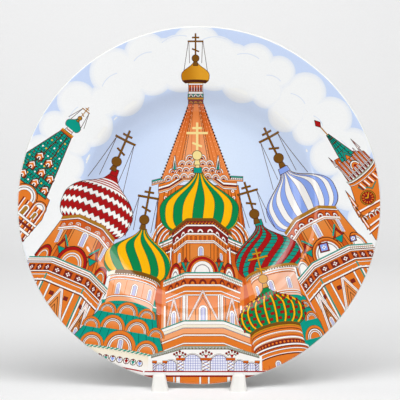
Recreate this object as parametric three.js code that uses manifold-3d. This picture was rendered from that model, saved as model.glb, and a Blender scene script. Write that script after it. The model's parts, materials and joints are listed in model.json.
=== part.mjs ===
// A round porcelain souvenir plate on a small folding plastic easel. Millimetres, +Z up.
// The plate faces -Y and leans back. Its edge sits in a notch behind each of the easel's two
// front prongs, and its foot ring leans on the two uprights. A prop leg at the back swings on a
// pin between two ears of the upper crossbar, and folds flat behind the uprights.
// The origin is under the middle of the object, on the surface that it stands on.

import * as THREE from "three";
import { mergeVertices } from "three/addons/utils/BufferGeometryUtils.js";
import Module from "manifold-3d";

const wasm = await Module();
wasm.setup();

// Driving dimensions
const DEGREE = Math.PI / 180;
const REST_GAP = 0.35; // left between pieces that rest on each other

const PLATE = {
  radius: 135,
  height: 23, // from the foot to the rim
  lean: 12.5 * DEGREE, // back from upright
  lowest: 2.9, // its edge above the table
  floorRadius: 62,
  shoulderRadius: 88,
  shoulderHeight: 17,
  floorHeight: 6,
  thick: 3.6,
  footOuter: 66,
  footInner: 62,
  footHeight: 2,
  footDraft: 1.2, // how far the foot ring's inner face slopes
  footFillet: 1.6,
  sides: 72,
};

const LEG = {
  apart: 56, // between the middles of the two legs
  wide: 8,
  deep: 9,
  height: 152,
  armHeight: 10.5,
  arch: 1.4, // the gap under the arm, between its two feet
  frontFoot: 6,
  rearFoot: 9,
  topRound: 5,
  elbow: 9, // how far up the upright its curve into the arm reaches
  seatDepth: 4, // how far the seat runs forward into the prong
  notchSpare: 2, // the notch is this much longer than the plate is thick
  bevel: 0.8,
};

const PRONG = {
  height: 12,
  baseWide: 12.4,
  topWide: 9.2,
  baseDeep: 9.4,
  topDeep: 6.4,
  corner: 0.3, // corner radius, as a share of the narrower side
  domeHeight: 2.6,
  domeTurn: 80 * DEGREE, // how much of a quarter circle the dome's side makes
  domeFlat: 0.45, // how much of the width stays flat on top
  splay: 0.5, // how far the top stands outward of the base
};

const BAR = {
  thick: 5,
  inset: 1.5, // behind the uprights' front faces
  lowerAt: 42,
  lowerTall: 12,
  upperAt: 139,
  upperTall: 19,
  tenonLong: 4,
  tenonShoulder: 2,
  tenonRoot: 1, // how far a tenon starts inside its bar
  socketGap: 0.3,
};

const HINGE = {
  back: 7.8, // from the upper crossbar's rear face to the pin's axis
  pinRadius: 1.9,
  boreRadius: 2.05,
  knuckleRadius: 4.6,
  knuckleHalf: 8.6,
  earThick: 4,
  earGap: 0.4,
  headRadius: 3.3,
  headThick: 1.4,
  earRoot: 1, // how far the ears start inside the crossbar
  boreSpare: 1, // how far a bore is cut past the faces it opens in
  sides: 32,
};

const PROP = {
  thick: 5,
  open: 20 * DEGREE, // back from upright
  footWide: 27,
  neck: 24, // below the pin, where it starts to widen
  neckCurve: 20,
  footCurve: 40,
  heelRound: 2,
  cutSpare: 20, // the board is made this much too long, then cut off level with the table
  slotWide: 8,
  slotTop: 34,
  slotLong: 78,
};

// Materials
const porcelain = new THREE.MeshStandardMaterial({
  color: 0xf4f3ee,
  roughness: 0.1,
  metalness: 0,
});
const whitePlastic = new THREE.MeshStandardMaterial({
  color: 0xf0efec,
  roughness: 0.45,
  metalness: 0,
});
const steel = new THREE.MeshStandardMaterial({
  color: 0xb9bcc0,
  roughness: 0.3,
  metalness: 1,
});

// Where things are. Until the group is centred, the plane of the plate's foot ring meets the
// table at y = 0, and anything written in the leaning frame is turned with it by leanBack().
const sine = Math.sin(PLATE.lean);
const cosine = Math.cos(PLATE.lean);
const lipRound = PLATE.thick / 2;
const lipRadius = PLATE.radius - lipRound;
const lipHeight = PLATE.height - lipRound;
const plateZ = PLATE.lowest + lipRound + lipRadius * cosine - lipHeight * sine;
const plateY = plateZ * Math.tan(PLATE.lean);
const pinY = REST_GAP + BAR.inset + BAR.thick + HINGE.back;

// The middle of the lip where the plate's lower edge passes a given x.
function lipAt(x) {
  const down = Math.sqrt(lipRadius ** 2 - x ** 2);
  return {
    y: plateY - down * sine - lipHeight * cosine,
    z: plateZ - down * cosine + lipHeight * sine,
  };
}

const legInner = (LEG.apart - LEG.wide) / 2;
const seat = lipAt(legInner).z - lipRound - REST_GAP;
const prongRear = lipAt((LEG.apart - PRONG.baseWide) / 2).y - lipRound - REST_GAP;

function leanBack(geometry) {
  return geometry.rotateX(-PLATE.lean);
}

// A closed three.js geometry as a manifold-3d solid, and back.
function solidFrom(geometry) {
  geometry.deleteAttribute("normal");
  geometry.deleteAttribute("uv");
  const merged = mergeVertices(geometry, 1e-4);
  return new wasm.Manifold(
    new wasm.Mesh({
      numProp: 3,
      vertProperties: new Float32Array(merged.attributes.position.array),
      triVerts: new Uint32Array(merged.index.array),
    }),
  );
}

function geometryFrom(solid) {
  const { vertProperties, triVerts } = solid.getMesh();
  const geometry = new THREE.BufferGeometry();
  geometry.setAttribute("position", new THREE.BufferAttribute(vertProperties, 3));
  return geometry.setIndex(new THREE.BufferAttribute(triVerts, 1));
}

function meshFrom(name, solid, material) {
  const geometry = geometryFrom(solid);
  geometry.computeVertexNormals();
  const mesh = new THREE.Mesh(geometry, material);
  mesh.name = name;
  return mesh;
}

function box(x, y, z) {
  const geometry = new THREE.BoxGeometry(x[1] - x[0], y[1] - y[0], z[1] - z[0]);
  return geometry.translate((x[0] + x[1]) / 2, (y[0] + y[1]) / 2, (z[0] + z[1]) / 2);
}

// A side outline, drawn with x as depth and y as height, made solid from one x to another.
function sideways(shape, low, high, bevel) {
  const geometry = new THREE.ExtrudeGeometry(shape, {
    depth: high - low - 2 * bevel,
    bevelEnabled: bevel > 0,
    bevelSize: bevel,
    bevelThickness: bevel,
    bevelOffset: -bevel,
    bevelSegments: 2,
    curveSegments: 6,
  });
  const turn = new THREE.Matrix4().makeBasis(
    new THREE.Vector3(0, 1, 0),
    new THREE.Vector3(0, 0, 1),
    new THREE.Vector3(1, 0, 0),
  );
  return geometry.applyMatrix4(turn).translate(low + bevel, 0, 0);
}

function rod(radius, low, high) {
  const geometry = new THREE.CylinderGeometry(radius, radius, high - low, HINGE.sides);
  return geometry.rotateZ(Math.PI / 2).translate((low + high) / 2, 0, 0);
}

// The plate's section, from the middle of its back round the rim to the middle of its front.
function plateSection() {
  const { shoulderRadius, shoulderHeight, floorRadius, floorHeight, thick } = PLATE;
  const { footInner, footOuter, footHeight, footDraft, footFillet } = PLATE;
  const path = new THREE.Path();
  path.moveTo(0, footHeight);
  path.lineTo(footInner - footDraft, footHeight);
  path.lineTo(footInner, 0);
  path.lineTo(footOuter, 0);
  path.lineTo(footOuter + 1, footFillet);
  path.bezierCurveTo(
    footOuter + 12,
    2 * footFillet,
    shoulderRadius - 3,
    shoulderHeight - thick - 1.4,
    shoulderRadius + 5,
    shoulderHeight - thick + 0.35,
  );
  path.lineTo(lipRadius, PLATE.height - thick);
  path.absarc(lipRadius, lipHeight, lipRound, -Math.PI / 2, Math.PI / 2, false);
  path.lineTo(shoulderRadius + 2, shoulderHeight + 0.25);
  path.bezierCurveTo(
    shoulderRadius - 5,
    shoulderHeight - 0.6,
    floorRadius + 17,
    floorHeight,
    floorRadius,
    floorHeight,
  );
  path.lineTo(0, floorHeight);
  return path.getPoints(8);
}

function buildPlate() {
  const geometry = new THREE.LatheGeometry(plateSection(), PLATE.sides);
  const mesh = new THREE.Mesh(geometry, porcelain);
  mesh.name = "plate";
  mesh.rotation.x = Math.PI - PLATE.lean;
  mesh.position.set(0, plateY, plateZ);
  return mesh;
}

// A leg's side outline: the arm on the table, and the upright that rises from its back end.
function legOutline() {
  const front = (z) => z * Math.tan(PLATE.lean) + REST_GAP / cosine;
  const rear = (z) => front(z) + LEG.deep / cosine;
  const top = LEG.height * cosine;
  const { arch, frontFoot, rearFoot, topRound, elbow, armHeight } = LEG;
  const footEnd = prongRear - LEG.seatDepth + frontFoot;
  const heelStart = rear(0) - rearFoot;
  const notchEnd = prongRear + PLATE.thick + LEG.notchSpare;
  const shape = new THREE.Shape();
  shape.moveTo(footEnd - frontFoot, 0);
  shape.lineTo(footEnd, 0);
  shape.quadraticCurveTo(footEnd + 2, arch, footEnd + 5, arch);
  shape.lineTo(heelStart - 5, arch);
  shape.quadraticCurveTo(heelStart - 2, arch, heelStart, 0);
  shape.lineTo(rear(0), 0);
  shape.lineTo(rear(top - topRound), top - topRound);
  shape.quadraticCurveTo(rear(top), top, (rear(top) + front(top)) / 2, top);
  shape.quadraticCurveTo(front(top), top, front(top - topRound), top - topRound);
  shape.lineTo(front(armHeight + elbow), armHeight + elbow);
  shape.quadraticCurveTo(front(armHeight), armHeight, front(armHeight) - 7, armHeight);
  shape.lineTo(notchEnd + 2.5, armHeight);
  shape.quadraticCurveTo(notchEnd + 0.5, armHeight, notchEnd, seat);
  shape.lineTo(footEnd - frontFoot, seat);
  shape.closePath();
  return shape;
}

// One ring of a prong: an oblong with full corners, flat at one height.
function prongRing(centre, wide, deep, z) {
  const corner = Math.min(wide, deep) * PRONG.corner;
  const outline = new THREE.Shape();
  outline.absarc(wide / 2 - corner, deep / 2 - corner, corner, 0, Math.PI / 2);
  outline.absarc(corner - wide / 2, deep / 2 - corner, corner, Math.PI / 2, Math.PI);
  outline.absarc(corner - wide / 2, corner - deep / 2, corner, Math.PI, 1.5 * Math.PI);
  outline.absarc(wide / 2 - corner, corner - deep / 2, corner, 1.5 * Math.PI, 2 * Math.PI);
  const points = outline.getPoints(4);
  return points.map(({ x, y }) => new THREE.Vector3(centre + x, prongRear - deep / 2 + y, z));
}

// A closed surface through rings of equal point counts, from the lowest up.
function loft(rings) {
  const count = rings[0].length;
  const faces = [];
  for (let start = 0; start < (rings.length - 1) * count; start += count) {
    for (let i = 0; i < count; i++) {
      const next = start + ((i + 1) % count);
      faces.push(start + i, next, next + count, start + i, next + count, start + i + count);
    }
  }
  const last = (rings.length - 1) * count;
  for (let i = 1; i < count - 1; i++) {
    faces.push(0, i + 1, i, last, last + i, last + i + 1);
  }
  const geometry = new THREE.BufferGeometry().setFromPoints(rings.flat());
  return geometry.setIndex(faces);
}

// A tapered block that stands on the table and ends in a low dome.
function prong(side) {
  const domeSteps = 4;
  const domeStart = PRONG.height - PRONG.domeHeight;
  const levels = [{ z: 0, taper: 0, dome: 1 }];
  for (let step = 0; step <= domeSteps; step++) {
    const angle = (step / domeSteps) * PRONG.domeTurn;
    levels.push({
      z: domeStart + (PRONG.domeHeight * Math.sin(angle)) / Math.sin(PRONG.domeTurn),
      taper: 1,
      dome: THREE.MathUtils.lerp(Math.cos(angle), 1, PRONG.domeFlat),
    });
  }
  const rings = levels.map(({ z, taper, dome }) => {
    const centre = side * (LEG.apart / 2 + PRONG.splay * taper);
    const wide = THREE.MathUtils.lerp(PRONG.baseWide, PRONG.topWide, taper) * dome;
    const deep = THREE.MathUtils.lerp(PRONG.baseDeep, PRONG.topDeep, taper) * dome;
    return prongRing(centre, wide, deep, z);
  });
  return loft(rings);
}

// The end of a crossbar that plugs into a leg, grown all round by a gap to make its socket.
function tenon(side, at, tall, gap) {
  const y = REST_GAP + BAR.inset;
  const reach = legInner + BAR.tenonLong + gap;
  const half = tall / 2 - BAR.tenonShoulder + gap;
  return leanBack(
    box(
      side < 0 ? [-reach, BAR.tenonRoot - legInner] : [legInner - BAR.tenonRoot, reach],
      [y + 1 - gap, y + BAR.thick - 1 + gap],
      [at - half, at + half],
    ),
  );
}

// side is -1 for the left leg and 1 for the right one.
function buildLeg(name, side) {
  const middle = (side * LEG.apart) / 2;
  const slab = sideways(
    legOutline(),
    middle - LEG.wide / 2,
    middle + LEG.wide / 2,
    LEG.bevel,
  );
  const leg = solidFrom(slab)
    .add(solidFrom(prong(side)))
    .subtract(solidFrom(tenon(side, BAR.lowerAt, BAR.lowerTall, BAR.socketGap)))
    .subtract(solidFrom(tenon(side, BAR.upperAt, BAR.upperTall, BAR.socketGap)));
  return meshFrom(name, leg, whitePlastic);
}

function crossbar(at, tall) {
  const y = REST_GAP + BAR.inset;
  const half = legInner - REST_GAP;
  const bar = solidFrom(
    leanBack(box([-half, half], [y, y + BAR.thick], [at - tall / 2, at + tall / 2])),
  );
  return bar.add(solidFrom(tenon(-1, at, tall, 0))).add(solidFrom(tenon(1, at, tall, 0)));
}

// One of the two ears that hold the pin, as a side outline in the leaning frame.
function earOutline() {
  const { knuckleRadius, earRoot } = HINGE;
  const root = pinY - HINGE.back - earRoot;
  const shape = new THREE.Shape();
  shape.moveTo(root, BAR.upperAt - BAR.upperTall / 2 + earRoot);
  shape.lineTo(pinY, BAR.upperAt - knuckleRadius);
  shape.absarc(pinY, BAR.upperAt, knuckleRadius, -Math.PI / 2, Math.PI / 2, false);
  shape.lineTo(root, BAR.upperAt + BAR.upperTall / 2 - earRoot);
  shape.closePath();
  return shape;
}

// A rod along the pin's axis.
function onPin(radius, low, high) {
  return leanBack(rod(radius, low, high).translate(0, pinY, BAR.upperAt));
}

function buildUpperCrossbar() {
  const inner = HINGE.knuckleHalf + HINGE.earGap;
  const outer = inner + HINGE.earThick;
  const cut = outer + HINGE.boreSpare;
  const bar = crossbar(BAR.upperAt, BAR.upperTall)
    .add(solidFrom(leanBack(sideways(earOutline(), inner, outer, 0))))
    .add(solidFrom(leanBack(sideways(earOutline(), -outer, -inner, 0))))
    .subtract(solidFrom(onPin(HINGE.boreRadius, -cut, cut)));
  return meshFrom("upper_crossbar", bar, whitePlastic);
}

function buildPin() {
  const face = HINGE.knuckleHalf + HINGE.earGap + HINGE.earThick + REST_GAP;
  const end = face + HINGE.headThick;
  const pin = solidFrom(onPin(HINGE.pinRadius, -end, end))
    .add(solidFrom(onPin(HINGE.headRadius, face, end)))
    .add(solidFrom(onPin(HINGE.headRadius, -end, -face)));
  return meshFrom("hinge_pin", pin, steel);
}

// The prop's front outline, drawn down from the pin at the origin.
function propOutline(heel, length) {
  const { neck, neckCurve, footCurve, heelRound } = PROP;
  const half = HINGE.knuckleHalf;
  const foot = PROP.footWide / 2;
  const shape = new THREE.Shape();
  shape.moveTo(-half + heelRound, heel);
  shape.quadraticCurveTo(-half, heel, -half, heel - heelRound);
  shape.lineTo(-half, -neck);
  shape.bezierCurveTo(-half, -neck - neckCurve, -foot, footCurve - length, -foot, -length);
  shape.lineTo(foot, -length);
  shape.bezierCurveTo(foot, footCurve - length, half, -neck - neckCurve, half, -neck);
  shape.lineTo(half, heel - heelRound);
  shape.quadraticCurveTo(half, heel, half - heelRound, heel);
  shape.closePath();
  const slot = new THREE.Path();
  const slotRadius = PROP.slotWide / 2;
  slot.absarc(0, -PROP.slotTop - slotRadius, slotRadius, 0, Math.PI);
  slot.absarc(0, slotRadius - PROP.slotTop - PROP.slotLong, slotRadius, Math.PI, 2 * Math.PI);
  shape.holes.push(slot);
  return shape;
}

// The prop stops opening when its heel, above the pin, meets the crossbar's rear face.
function buildProp() {
  const swing = PROP.open + PLATE.lean;
  const reach = HINGE.back - REST_GAP - (PROP.thick / 2) * Math.cos(swing);
  const heel = reach / Math.sin(swing);
  const bevel = LEG.bevel;
  const length = BAR.upperAt + PROP.cutSpare;
  const board = new THREE.ExtrudeGeometry(propOutline(heel, length), {
    depth: PROP.thick - 2 * bevel,
    bevelSize: bevel,
    bevelThickness: bevel,
    bevelOffset: -bevel,
    bevelSegments: 2,
    curveSegments: 6,
  });
  board.rotateX(Math.PI / 2).translate(0, PROP.thick / 2 - bevel, 0);
  const half = HINGE.knuckleHalf;
  const cut = half + HINGE.boreSpare;
  const prop = solidFrom(board)
    .add(solidFrom(rod(HINGE.knuckleRadius, -half, half)))
    .subtract(solidFrom(rod(HINGE.boreRadius, -cut, cut)));
  const pin = new THREE.Vector3(0, pinY, BAR.upperAt);
  pin.applyAxisAngle(new THREE.Vector3(1, 0, 0), -PLATE.lean);
  const turned = geometryFrom(prop).rotateX(PROP.open).translate(pin.x, pin.y, pin.z);
  const underTable = box([-PROP.footWide, PROP.footWide], [0, length], [-length, 0]);
  const standing = solidFrom(turned).subtract(solidFrom(underTable));
  return meshFrom("prop_leg", standing, whitePlastic);
}

const souvenirPlate = new THREE.Group();
souvenirPlate.add(
  buildPlate(),
  buildLeg("left_leg", -1),
  buildLeg("right_leg", 1),
  meshFrom("lower_crossbar", crossbar(BAR.lowerAt, BAR.lowerTall), whitePlastic),
  buildUpperCrossbar(),
  buildProp(),
  buildPin(),
);

// Centre the object over its origin.
souvenirPlate.updateMatrixWorld(true);
const bounds = new THREE.Box3().setFromObject(souvenirPlate, true);
const middle = bounds.getCenter(new THREE.Vector3());
souvenirPlate.position.set(-middle.x, -middle.y, 0);

export default souvenirPlate;
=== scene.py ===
import json
import math

import bpy
import numpy as np
from mathutils import Matrix, Vector
from mathutils.geometry import delaunay_2d_cdt


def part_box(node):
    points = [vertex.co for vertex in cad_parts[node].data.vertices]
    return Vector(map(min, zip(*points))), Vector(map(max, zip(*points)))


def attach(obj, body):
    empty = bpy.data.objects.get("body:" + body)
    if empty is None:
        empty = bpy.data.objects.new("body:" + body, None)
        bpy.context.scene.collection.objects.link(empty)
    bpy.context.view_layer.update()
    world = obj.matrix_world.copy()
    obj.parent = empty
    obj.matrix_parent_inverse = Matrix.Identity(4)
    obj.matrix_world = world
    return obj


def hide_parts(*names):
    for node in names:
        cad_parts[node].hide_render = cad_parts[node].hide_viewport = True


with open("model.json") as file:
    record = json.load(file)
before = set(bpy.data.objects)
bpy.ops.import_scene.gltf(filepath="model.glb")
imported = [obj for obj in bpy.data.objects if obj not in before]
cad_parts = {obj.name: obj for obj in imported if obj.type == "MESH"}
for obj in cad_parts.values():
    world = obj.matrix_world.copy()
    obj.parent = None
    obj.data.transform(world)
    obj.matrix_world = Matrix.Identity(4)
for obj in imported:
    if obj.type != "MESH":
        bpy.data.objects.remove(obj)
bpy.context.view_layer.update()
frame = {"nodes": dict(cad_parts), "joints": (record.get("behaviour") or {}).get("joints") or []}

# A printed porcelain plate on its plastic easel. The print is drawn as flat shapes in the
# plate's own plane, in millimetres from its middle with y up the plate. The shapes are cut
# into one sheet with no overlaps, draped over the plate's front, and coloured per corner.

MM = 0.001


# ---------------------------------------------------------------- the plate's shape

# The section, in millimetres, as the CAD model has it: distance from the axis, and height
# above the plane of the foot ring.
PLATE_HEIGHT = 23
FLOOR_RADIUS, FLOOR_HEIGHT = 62, 6
SHOULDER_RADIUS, SHOULDER_HEIGHT = 88, 17
THICK = 3.6
FOOT_OUTER, FOOT_INNER, FOOT_HEIGHT = 66, 62, 2
PRINT_GAP = 0.12  # the body's glaze lies this far under the print
PRINT_RADIUS = 133.9
PRINT_DROP = 0.8  # it sits a little low, so the white lip is widest at the top

plate_low, plate_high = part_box("plate")
PLATE_RADIUS = (plate_high.x - plate_low.x) / 2 / MM
LIP_ROUND = THICK / 2
LIP_RADIUS = PLATE_RADIUS - LIP_ROUND
LIP_HEIGHT = PLATE_HEIGHT - LIP_ROUND

lift = next(j for j in frame["joints"] if j["name"] == "plate_lift")
LEAN = math.atan2(lift["axis"][1], lift["axis"][2])
SINE, COSINE = math.sin(LEAN), math.cos(LEAN)
foot_centre = Vector((
    (plate_low.x + plate_high.x) / 2,
    plate_low.y + (LIP_RADIUS * SINE + LIP_HEIGHT * COSINE + LIP_ROUND) * MM,
    plate_low.z + (LIP_ROUND + LIP_RADIUS * COSINE - LIP_HEIGHT * SINE) * MM,
))
PLATE_AXES = Matrix((
    (1, 0, 0),
    (0, SINE, -COSINE),
    (0, COSINE, SINE),
))  # columns: right, up the plate, out of its front


def bezier(points, steps):
    """Points of a Bezier curve of any degree, without its first point."""
    out = []
    for step in range(1, steps + 1):
        row = [np.array(p, float) for p in points]
        t = step / steps
        while len(row) > 1:
            row = [a + (b - a) * t for a, b in zip(row, row[1:])]
        out.append(tuple(row[0]))
    return out


def front_section(steps=40):
    """The plate's front from the middle of the well, over the top of the rounded lip."""
    section = [(0, FLOOR_HEIGHT), (FLOOR_RADIUS, FLOOR_HEIGHT)]
    cavetto = [
        (FLOOR_RADIUS, FLOOR_HEIGHT),
        (FLOOR_RADIUS + 17, FLOOR_HEIGHT),
        (SHOULDER_RADIUS - 5, SHOULDER_HEIGHT - 0.6),
        (SHOULDER_RADIUS + 2, SHOULDER_HEIGHT + 0.25),
    ]
    section += bezier(cavetto, steps)
    for angle in np.linspace(0, math.radians(60), 9):
        across, up = LIP_ROUND * math.sin(angle), LIP_ROUND * math.cos(angle)
        section.append((LIP_RADIUS + across, LIP_HEIGHT + up))
    return section


FRONT = np.array(front_section())


def front_height(radius):
    return np.interp(radius, FRONT[:, 0], FRONT[:, 1])


def front_slope(radius):
    return (front_height(radius + 0.4) - front_height(radius - 0.4)) / 0.8


def on_plate(x, y, height):
    """A point given in the plate's own millimetres, in the row frame."""
    return foot_centre + PLATE_AXES @ (Vector((x, y, height)) * MM)


# ---------------------------------------------------------------- colours

def srgb(red, green, blue):
    """Display values from 0 to 255 as the linear colour that shaders take."""
    linear = []
    for value in (red, green, blue):
        share = value / 255
        low = share <= 0.04045
        linear.append(share / 12.92 if low else ((share + 0.055) / 1.055) ** 2.4)
    return np.array(linear)


SKY = srgb(200, 216, 246)
# painted reflection: the sky colour where the soft lights shine back from the well
PAINTED_REFLECTION_SKY = srgb(219, 233, 253)
CLOUD = srgb(245, 246, 246)
CLOUD_SHADE = srgb(214, 224, 242)
ORANGE = srgb(228, 122, 38)
RUST = srgb(205, 88, 22)
PEACH = srgb(246, 166, 112)
WHITE = srgb(250, 247, 243)
CREAM = srgb(246, 236, 214)
RED = srgb(170, 14, 16)
MAROON = srgb(128, 34, 28)
TEAL = srgb(0, 152, 132)
DARK_TEAL = srgb(0, 74, 62)
GREEN = srgb(0, 134, 74)
YELLOW = srgb(254, 188, 0)
BLUE = srgb(142, 170, 240)
OCHRE = srgb(214, 148, 22)
GOLD = srgb(176, 122, 36)
PALE_GOLD = srgb(244, 222, 150)
BROWN = srgb(122, 78, 16)
INK = srgb(74, 34, 18)
LILAC = srgb(192, 192, 230)
SAGE = srgb(150, 158, 132)
GREY = srgb(186, 182, 196)


# ---------------------------------------------------------------- drawing

LONGEST = 4.0  # an outline's longest straight step, so that it follows the plate's curve
SHORTEST = 0.02  # corners closer together than this are one corner
SHARP = 30  # a line turns at most this many degrees within one stroke
OVERRUN = 0.6  # how far a stroke runs past its ends, in half widths
FLATTEN = 0.6  # how evenly a dome's stripes are spread, from round at 0 to flat at 1
shapes = []  # (points, colour, piece), from the back of the picture to the front
current_piece = [""]


class Place:
    """A flat local frame on the plate: u to the right and v up, turned clockwise by tilt."""

    step = None

    def __init__(self, x, y, tilt=0, scale=1):
        self.x, self.y, self.tilt, self.scale = x, y, tilt, scale
        self.sine = math.sin(math.radians(tilt))
        self.cosine = math.cos(math.radians(tilt))

    def at(self, u, v):
        u, v = u * self.scale, v * self.scale
        return (
            self.x + u * self.cosine + v * self.sine,
            self.y - u * self.sine + v * self.cosine,
        )


class Prism:
    """The three seen faces of an eight-sided tower. s runs round it, and the side faces
    fall away from the middle one and are narrowed."""

    step = 1.6
    squeeze = 0.62

    def __init__(self, place, middle, half, slope):
        self.place, self.middle, self.half, self.slope = place, middle, half, slope

    def at(self, s, v):
        beyond = max(0, abs(s) - self.half) * self.squeeze
        u = math.copysign(min(abs(s), self.half) + beyond, s)
        return self.place.at(self.middle + u, v - beyond * self.slope)

    def reach(self, side):
        """How far s goes for side faces that look this wide."""
        return self.half + side / self.squeeze


class Drum:
    """A round tower seen from a little below. s runs round it."""

    step = 1.6

    def __init__(self, place, radius, bow):
        self.place, self.radius, self.bow = place, radius, bow
        self.edge = radius * math.pi / 2  # how far s goes on either side

    def at(self, s, v):
        angle = max(-math.pi / 2, min(math.pi / 2, s / self.radius))
        return self.place.at(
            self.radius * math.sin(angle), v - self.bow * (1 - math.cos(angle))
        )


class Onion:
    """A dome. s is the angle round it in degrees, and t runs from its base to its tip."""

    step = None

    def __init__(self, place, base, widest, height, bow=3.0, tip=1.6, wide_at=0.34, neck=0.24):
        self.place, self.widest, self.height, self.bow = place, widest, height, bow
        outline = [(base, 0)]
        outline += bezier(
            [
                (base, 0),
                (base + (widest - base) * 0.9, wide_at * 0.2),
                (widest, wide_at * 0.55),
                (widest, wide_at),
            ],
            12,
        )
        shoulder = 0.74 - 0.5 * neck
        outline += bezier(
            [(widest, wide_at), (widest, shoulder), (widest * neck, shoulder + 0.1), (tip, 1)], 24
        )
        self.widths, self.levels = np.array(outline).T

    def width(self, t):
        return float(np.interp(t, self.levels, self.widths))

    def at(self, s, t):
        """The stripes near the dome's sides are drawn wider than they would look."""
        s = max(-90, min(90, s))
        round_it = math.sin(math.radians(s))
        across = FLATTEN * s / 90 + (1 - FLATTEN) * round_it
        width = self.width(t)
        lift = self.bow * math.cos(math.radians(s)) * width / self.widest
        return self.place.at(width * across, t * self.height + lift)


def split(start, end, step):
    """Points from start towards end, no further apart than step, without the end."""
    (x0, y0), (x1, y1) = start, end
    count = max(1, math.ceil(math.hypot(x1 - x0, y1 - y0) / step))
    return [(x0 + (x1 - x0) * k / count, y0 + (y1 - y0) * k / count) for k in range(count)]


def fill(surface, outline, colour):
    """Adds a closed shape. colour is one colour, or a function of plate x and y."""
    outline = list(outline)
    if surface.step:
        pairs = zip(outline, outline[1:] + outline[:1])
        outline = [p for start, end in pairs for p in split(start, end, surface.step)]
    add_shape([surface.at(u, v) for u, v in outline], colour)


def add_shape(corners, colour):
    """Keeps a shape given in plate millimetres."""
    points = []
    for point in corners:
        if not points or math.dist(point, points[-1]) > SHORTEST:
            points.append(point)
    if len(points) < 3:
        return
    pairs = zip(points, points[1:] + points[:1])
    points = [p for start, end in pairs for p in split(start, end, LONGEST)]
    shapes.append((points, colour, current_piece[0]))


def line(surface, path, width, colour, closed=False):
    """A drawn line, in one shape per stretch between its sharp corners."""
    path = [surface.at(u, v) for u, v in path]
    if closed:
        path.append(path[0])
    path = [p for k, p in enumerate(path) if k == 0 or math.dist(p, path[k - 1]) > SHORTEST]
    stretch = path[:2]
    for point in path[2:]:
        if turn_between(*stretch[-2:], point) > SHARP:
            add_stroke(stretch, width / 2, colour)
            stretch = stretch[-1:]
        stretch.append(point)
    if len(stretch) > 1:
        add_stroke(stretch, width / 2, colour)


def turn_between(first, corner, last):
    """How sharply a path turns at a corner, in degrees."""
    before = math.atan2(corner[1] - first[1], corner[0] - first[0])
    after = math.atan2(last[1] - corner[1], last[0] - corner[0])
    return abs((math.degrees(after - before) + 180) % 360 - 180)


def add_stroke(path, half, colour):
    """One smooth stroke, a little longer than its path so that corners close."""
    left, right = [], []
    for k, (x, y) in enumerate(path):
        before, after = path[max(0, k - 1)], path[min(len(path) - 1, k + 1)]
        length = math.dist(before, after)
        dx, dy = (after[0] - before[0]) / length, (after[1] - before[1]) / length
        grow = half * OVERRUN * ((k == len(path) - 1) - (k == 0))
        x, y = x + dx * grow, y + dy * grow
        left.append((x - dy * half, y + dx * half))
        right.append((x + dy * half, y - dx * half))
    add_shape(left + right[::-1], colour)


def circle(u, v, radius, sides=20, start=0, end=360):
    """Points round a circle, or round part of one, anticlockwise from the right."""
    count = sides if end - start == 360 else sides + 1
    turn = [math.radians(start + (end - start) * k / sides) for k in range(count)]
    return [(u + radius * math.cos(a), v + radius * math.sin(a)) for a in turn]


def oblong(u0, v0, u1, v1):
    return [(u0, v0), (u1, v0), (u1, v1), (u0, v1)]


def fade(place, low_colour, high_colour, low, high, along="v"):
    """A colour that runs from one to the other between two local heights, or widths."""
    def colour(x, y):
        u = (x - place.x) * place.cosine - (y - place.y) * place.sine
        v = (x - place.x) * place.sine + (y - place.y) * place.cosine
        across = (v if along == "v" else u) / place.scale
        share = np.clip((across - low) / (high - low), 0, 1)[:, None]
        share = share * share * (3 - 2 * share)
        return low_colour * (1 - share) + high_colour * share
    return colour


WHOLE = Place(0, 0)
INK_WIDTH = 0.46
THIN_INK = 0.32
ARCH_EDGE = 0.22  # the ink round an arch


# ---------------------------------------------------------------- motifs

def inked(surface, outline, colour, width=INK_WIDTH):
    """A shape with a thin dark outline round it."""
    fill(surface, outline, colour)
    line(surface, outline, width, INK, closed=True)


def taper(low, bottom, high, top, u=0):
    """A shape with level ends, given by their half widths. It may end in a point."""
    return [(u - low, bottom), (u + low, bottom), (u + high, top), (u - high, top)]


def arch(u, v, radius, stilt=0, rise=1.0, sides=12):
    """A round-headed opening that stands at height v."""
    head = circle(0, 0, radius, sides, 0, 180)
    return [(u + radius, v), *((u + x, v + stilt + y * rise) for x, y in head), (u - radius, v)]


def arches(surface, places, v, rings, rise=1.0, stilt=0):
    """Arches one inside the other, largest first, at one place or at several."""
    for u in np.atleast_1d(places):
        for radius, colour in rings:
            fill(surface, arch(u, v, radius + ARCH_EDGE, stilt, rise), INK)
            fill(surface, arch(u, v, radius, stilt, rise), colour)


def windows(surface, places, v, wide, tall, glass=LILAC):
    """Tall round-headed windows in white frames."""
    rings = [(wide / 2, WHITE), (wide / 4, glass)]
    arches(surface, places, v, rings, stilt=tall - wide / 2)


def posts(surface, places, start, end, width, colour):
    """Upright strokes at one place or at several."""
    for u in np.atleast_1d(places):
        line(surface, [(u, start), (u, end)], width, colour)


def bands(surface, reach, top, layers):
    """Level bands from the top down, each a thickness and a colour. Returns the bottom."""
    for thick, colour in layers:
        fill(surface, oblong(-reach, top - thick, reach, top), colour)
        line(surface, level(-reach, reach, top - thick), THIN_INK, INK)
        top -= thick
    return top


def level(low, high, v, step=2.0):
    count = max(1, round((high - low) / step))
    return [(low + (high - low) * k / count, v) for k in range(count + 1)]


def spaced(low, high, count):
    """The middles of count equal shares of a stretch."""
    share = (high - low) / count
    return [low + share * (k + 0.5) for k in range(count)]


def beads(surface, start, end, count, radius, colour):
    for k in range(count):
        share = (k + 0.5) / count
        u = start[0] + (end[0] - start[0]) * share
        v = start[1] + (end[1] - start[1]) * share
        fill(surface, circle(u, v, radius, 6), colour)


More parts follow.
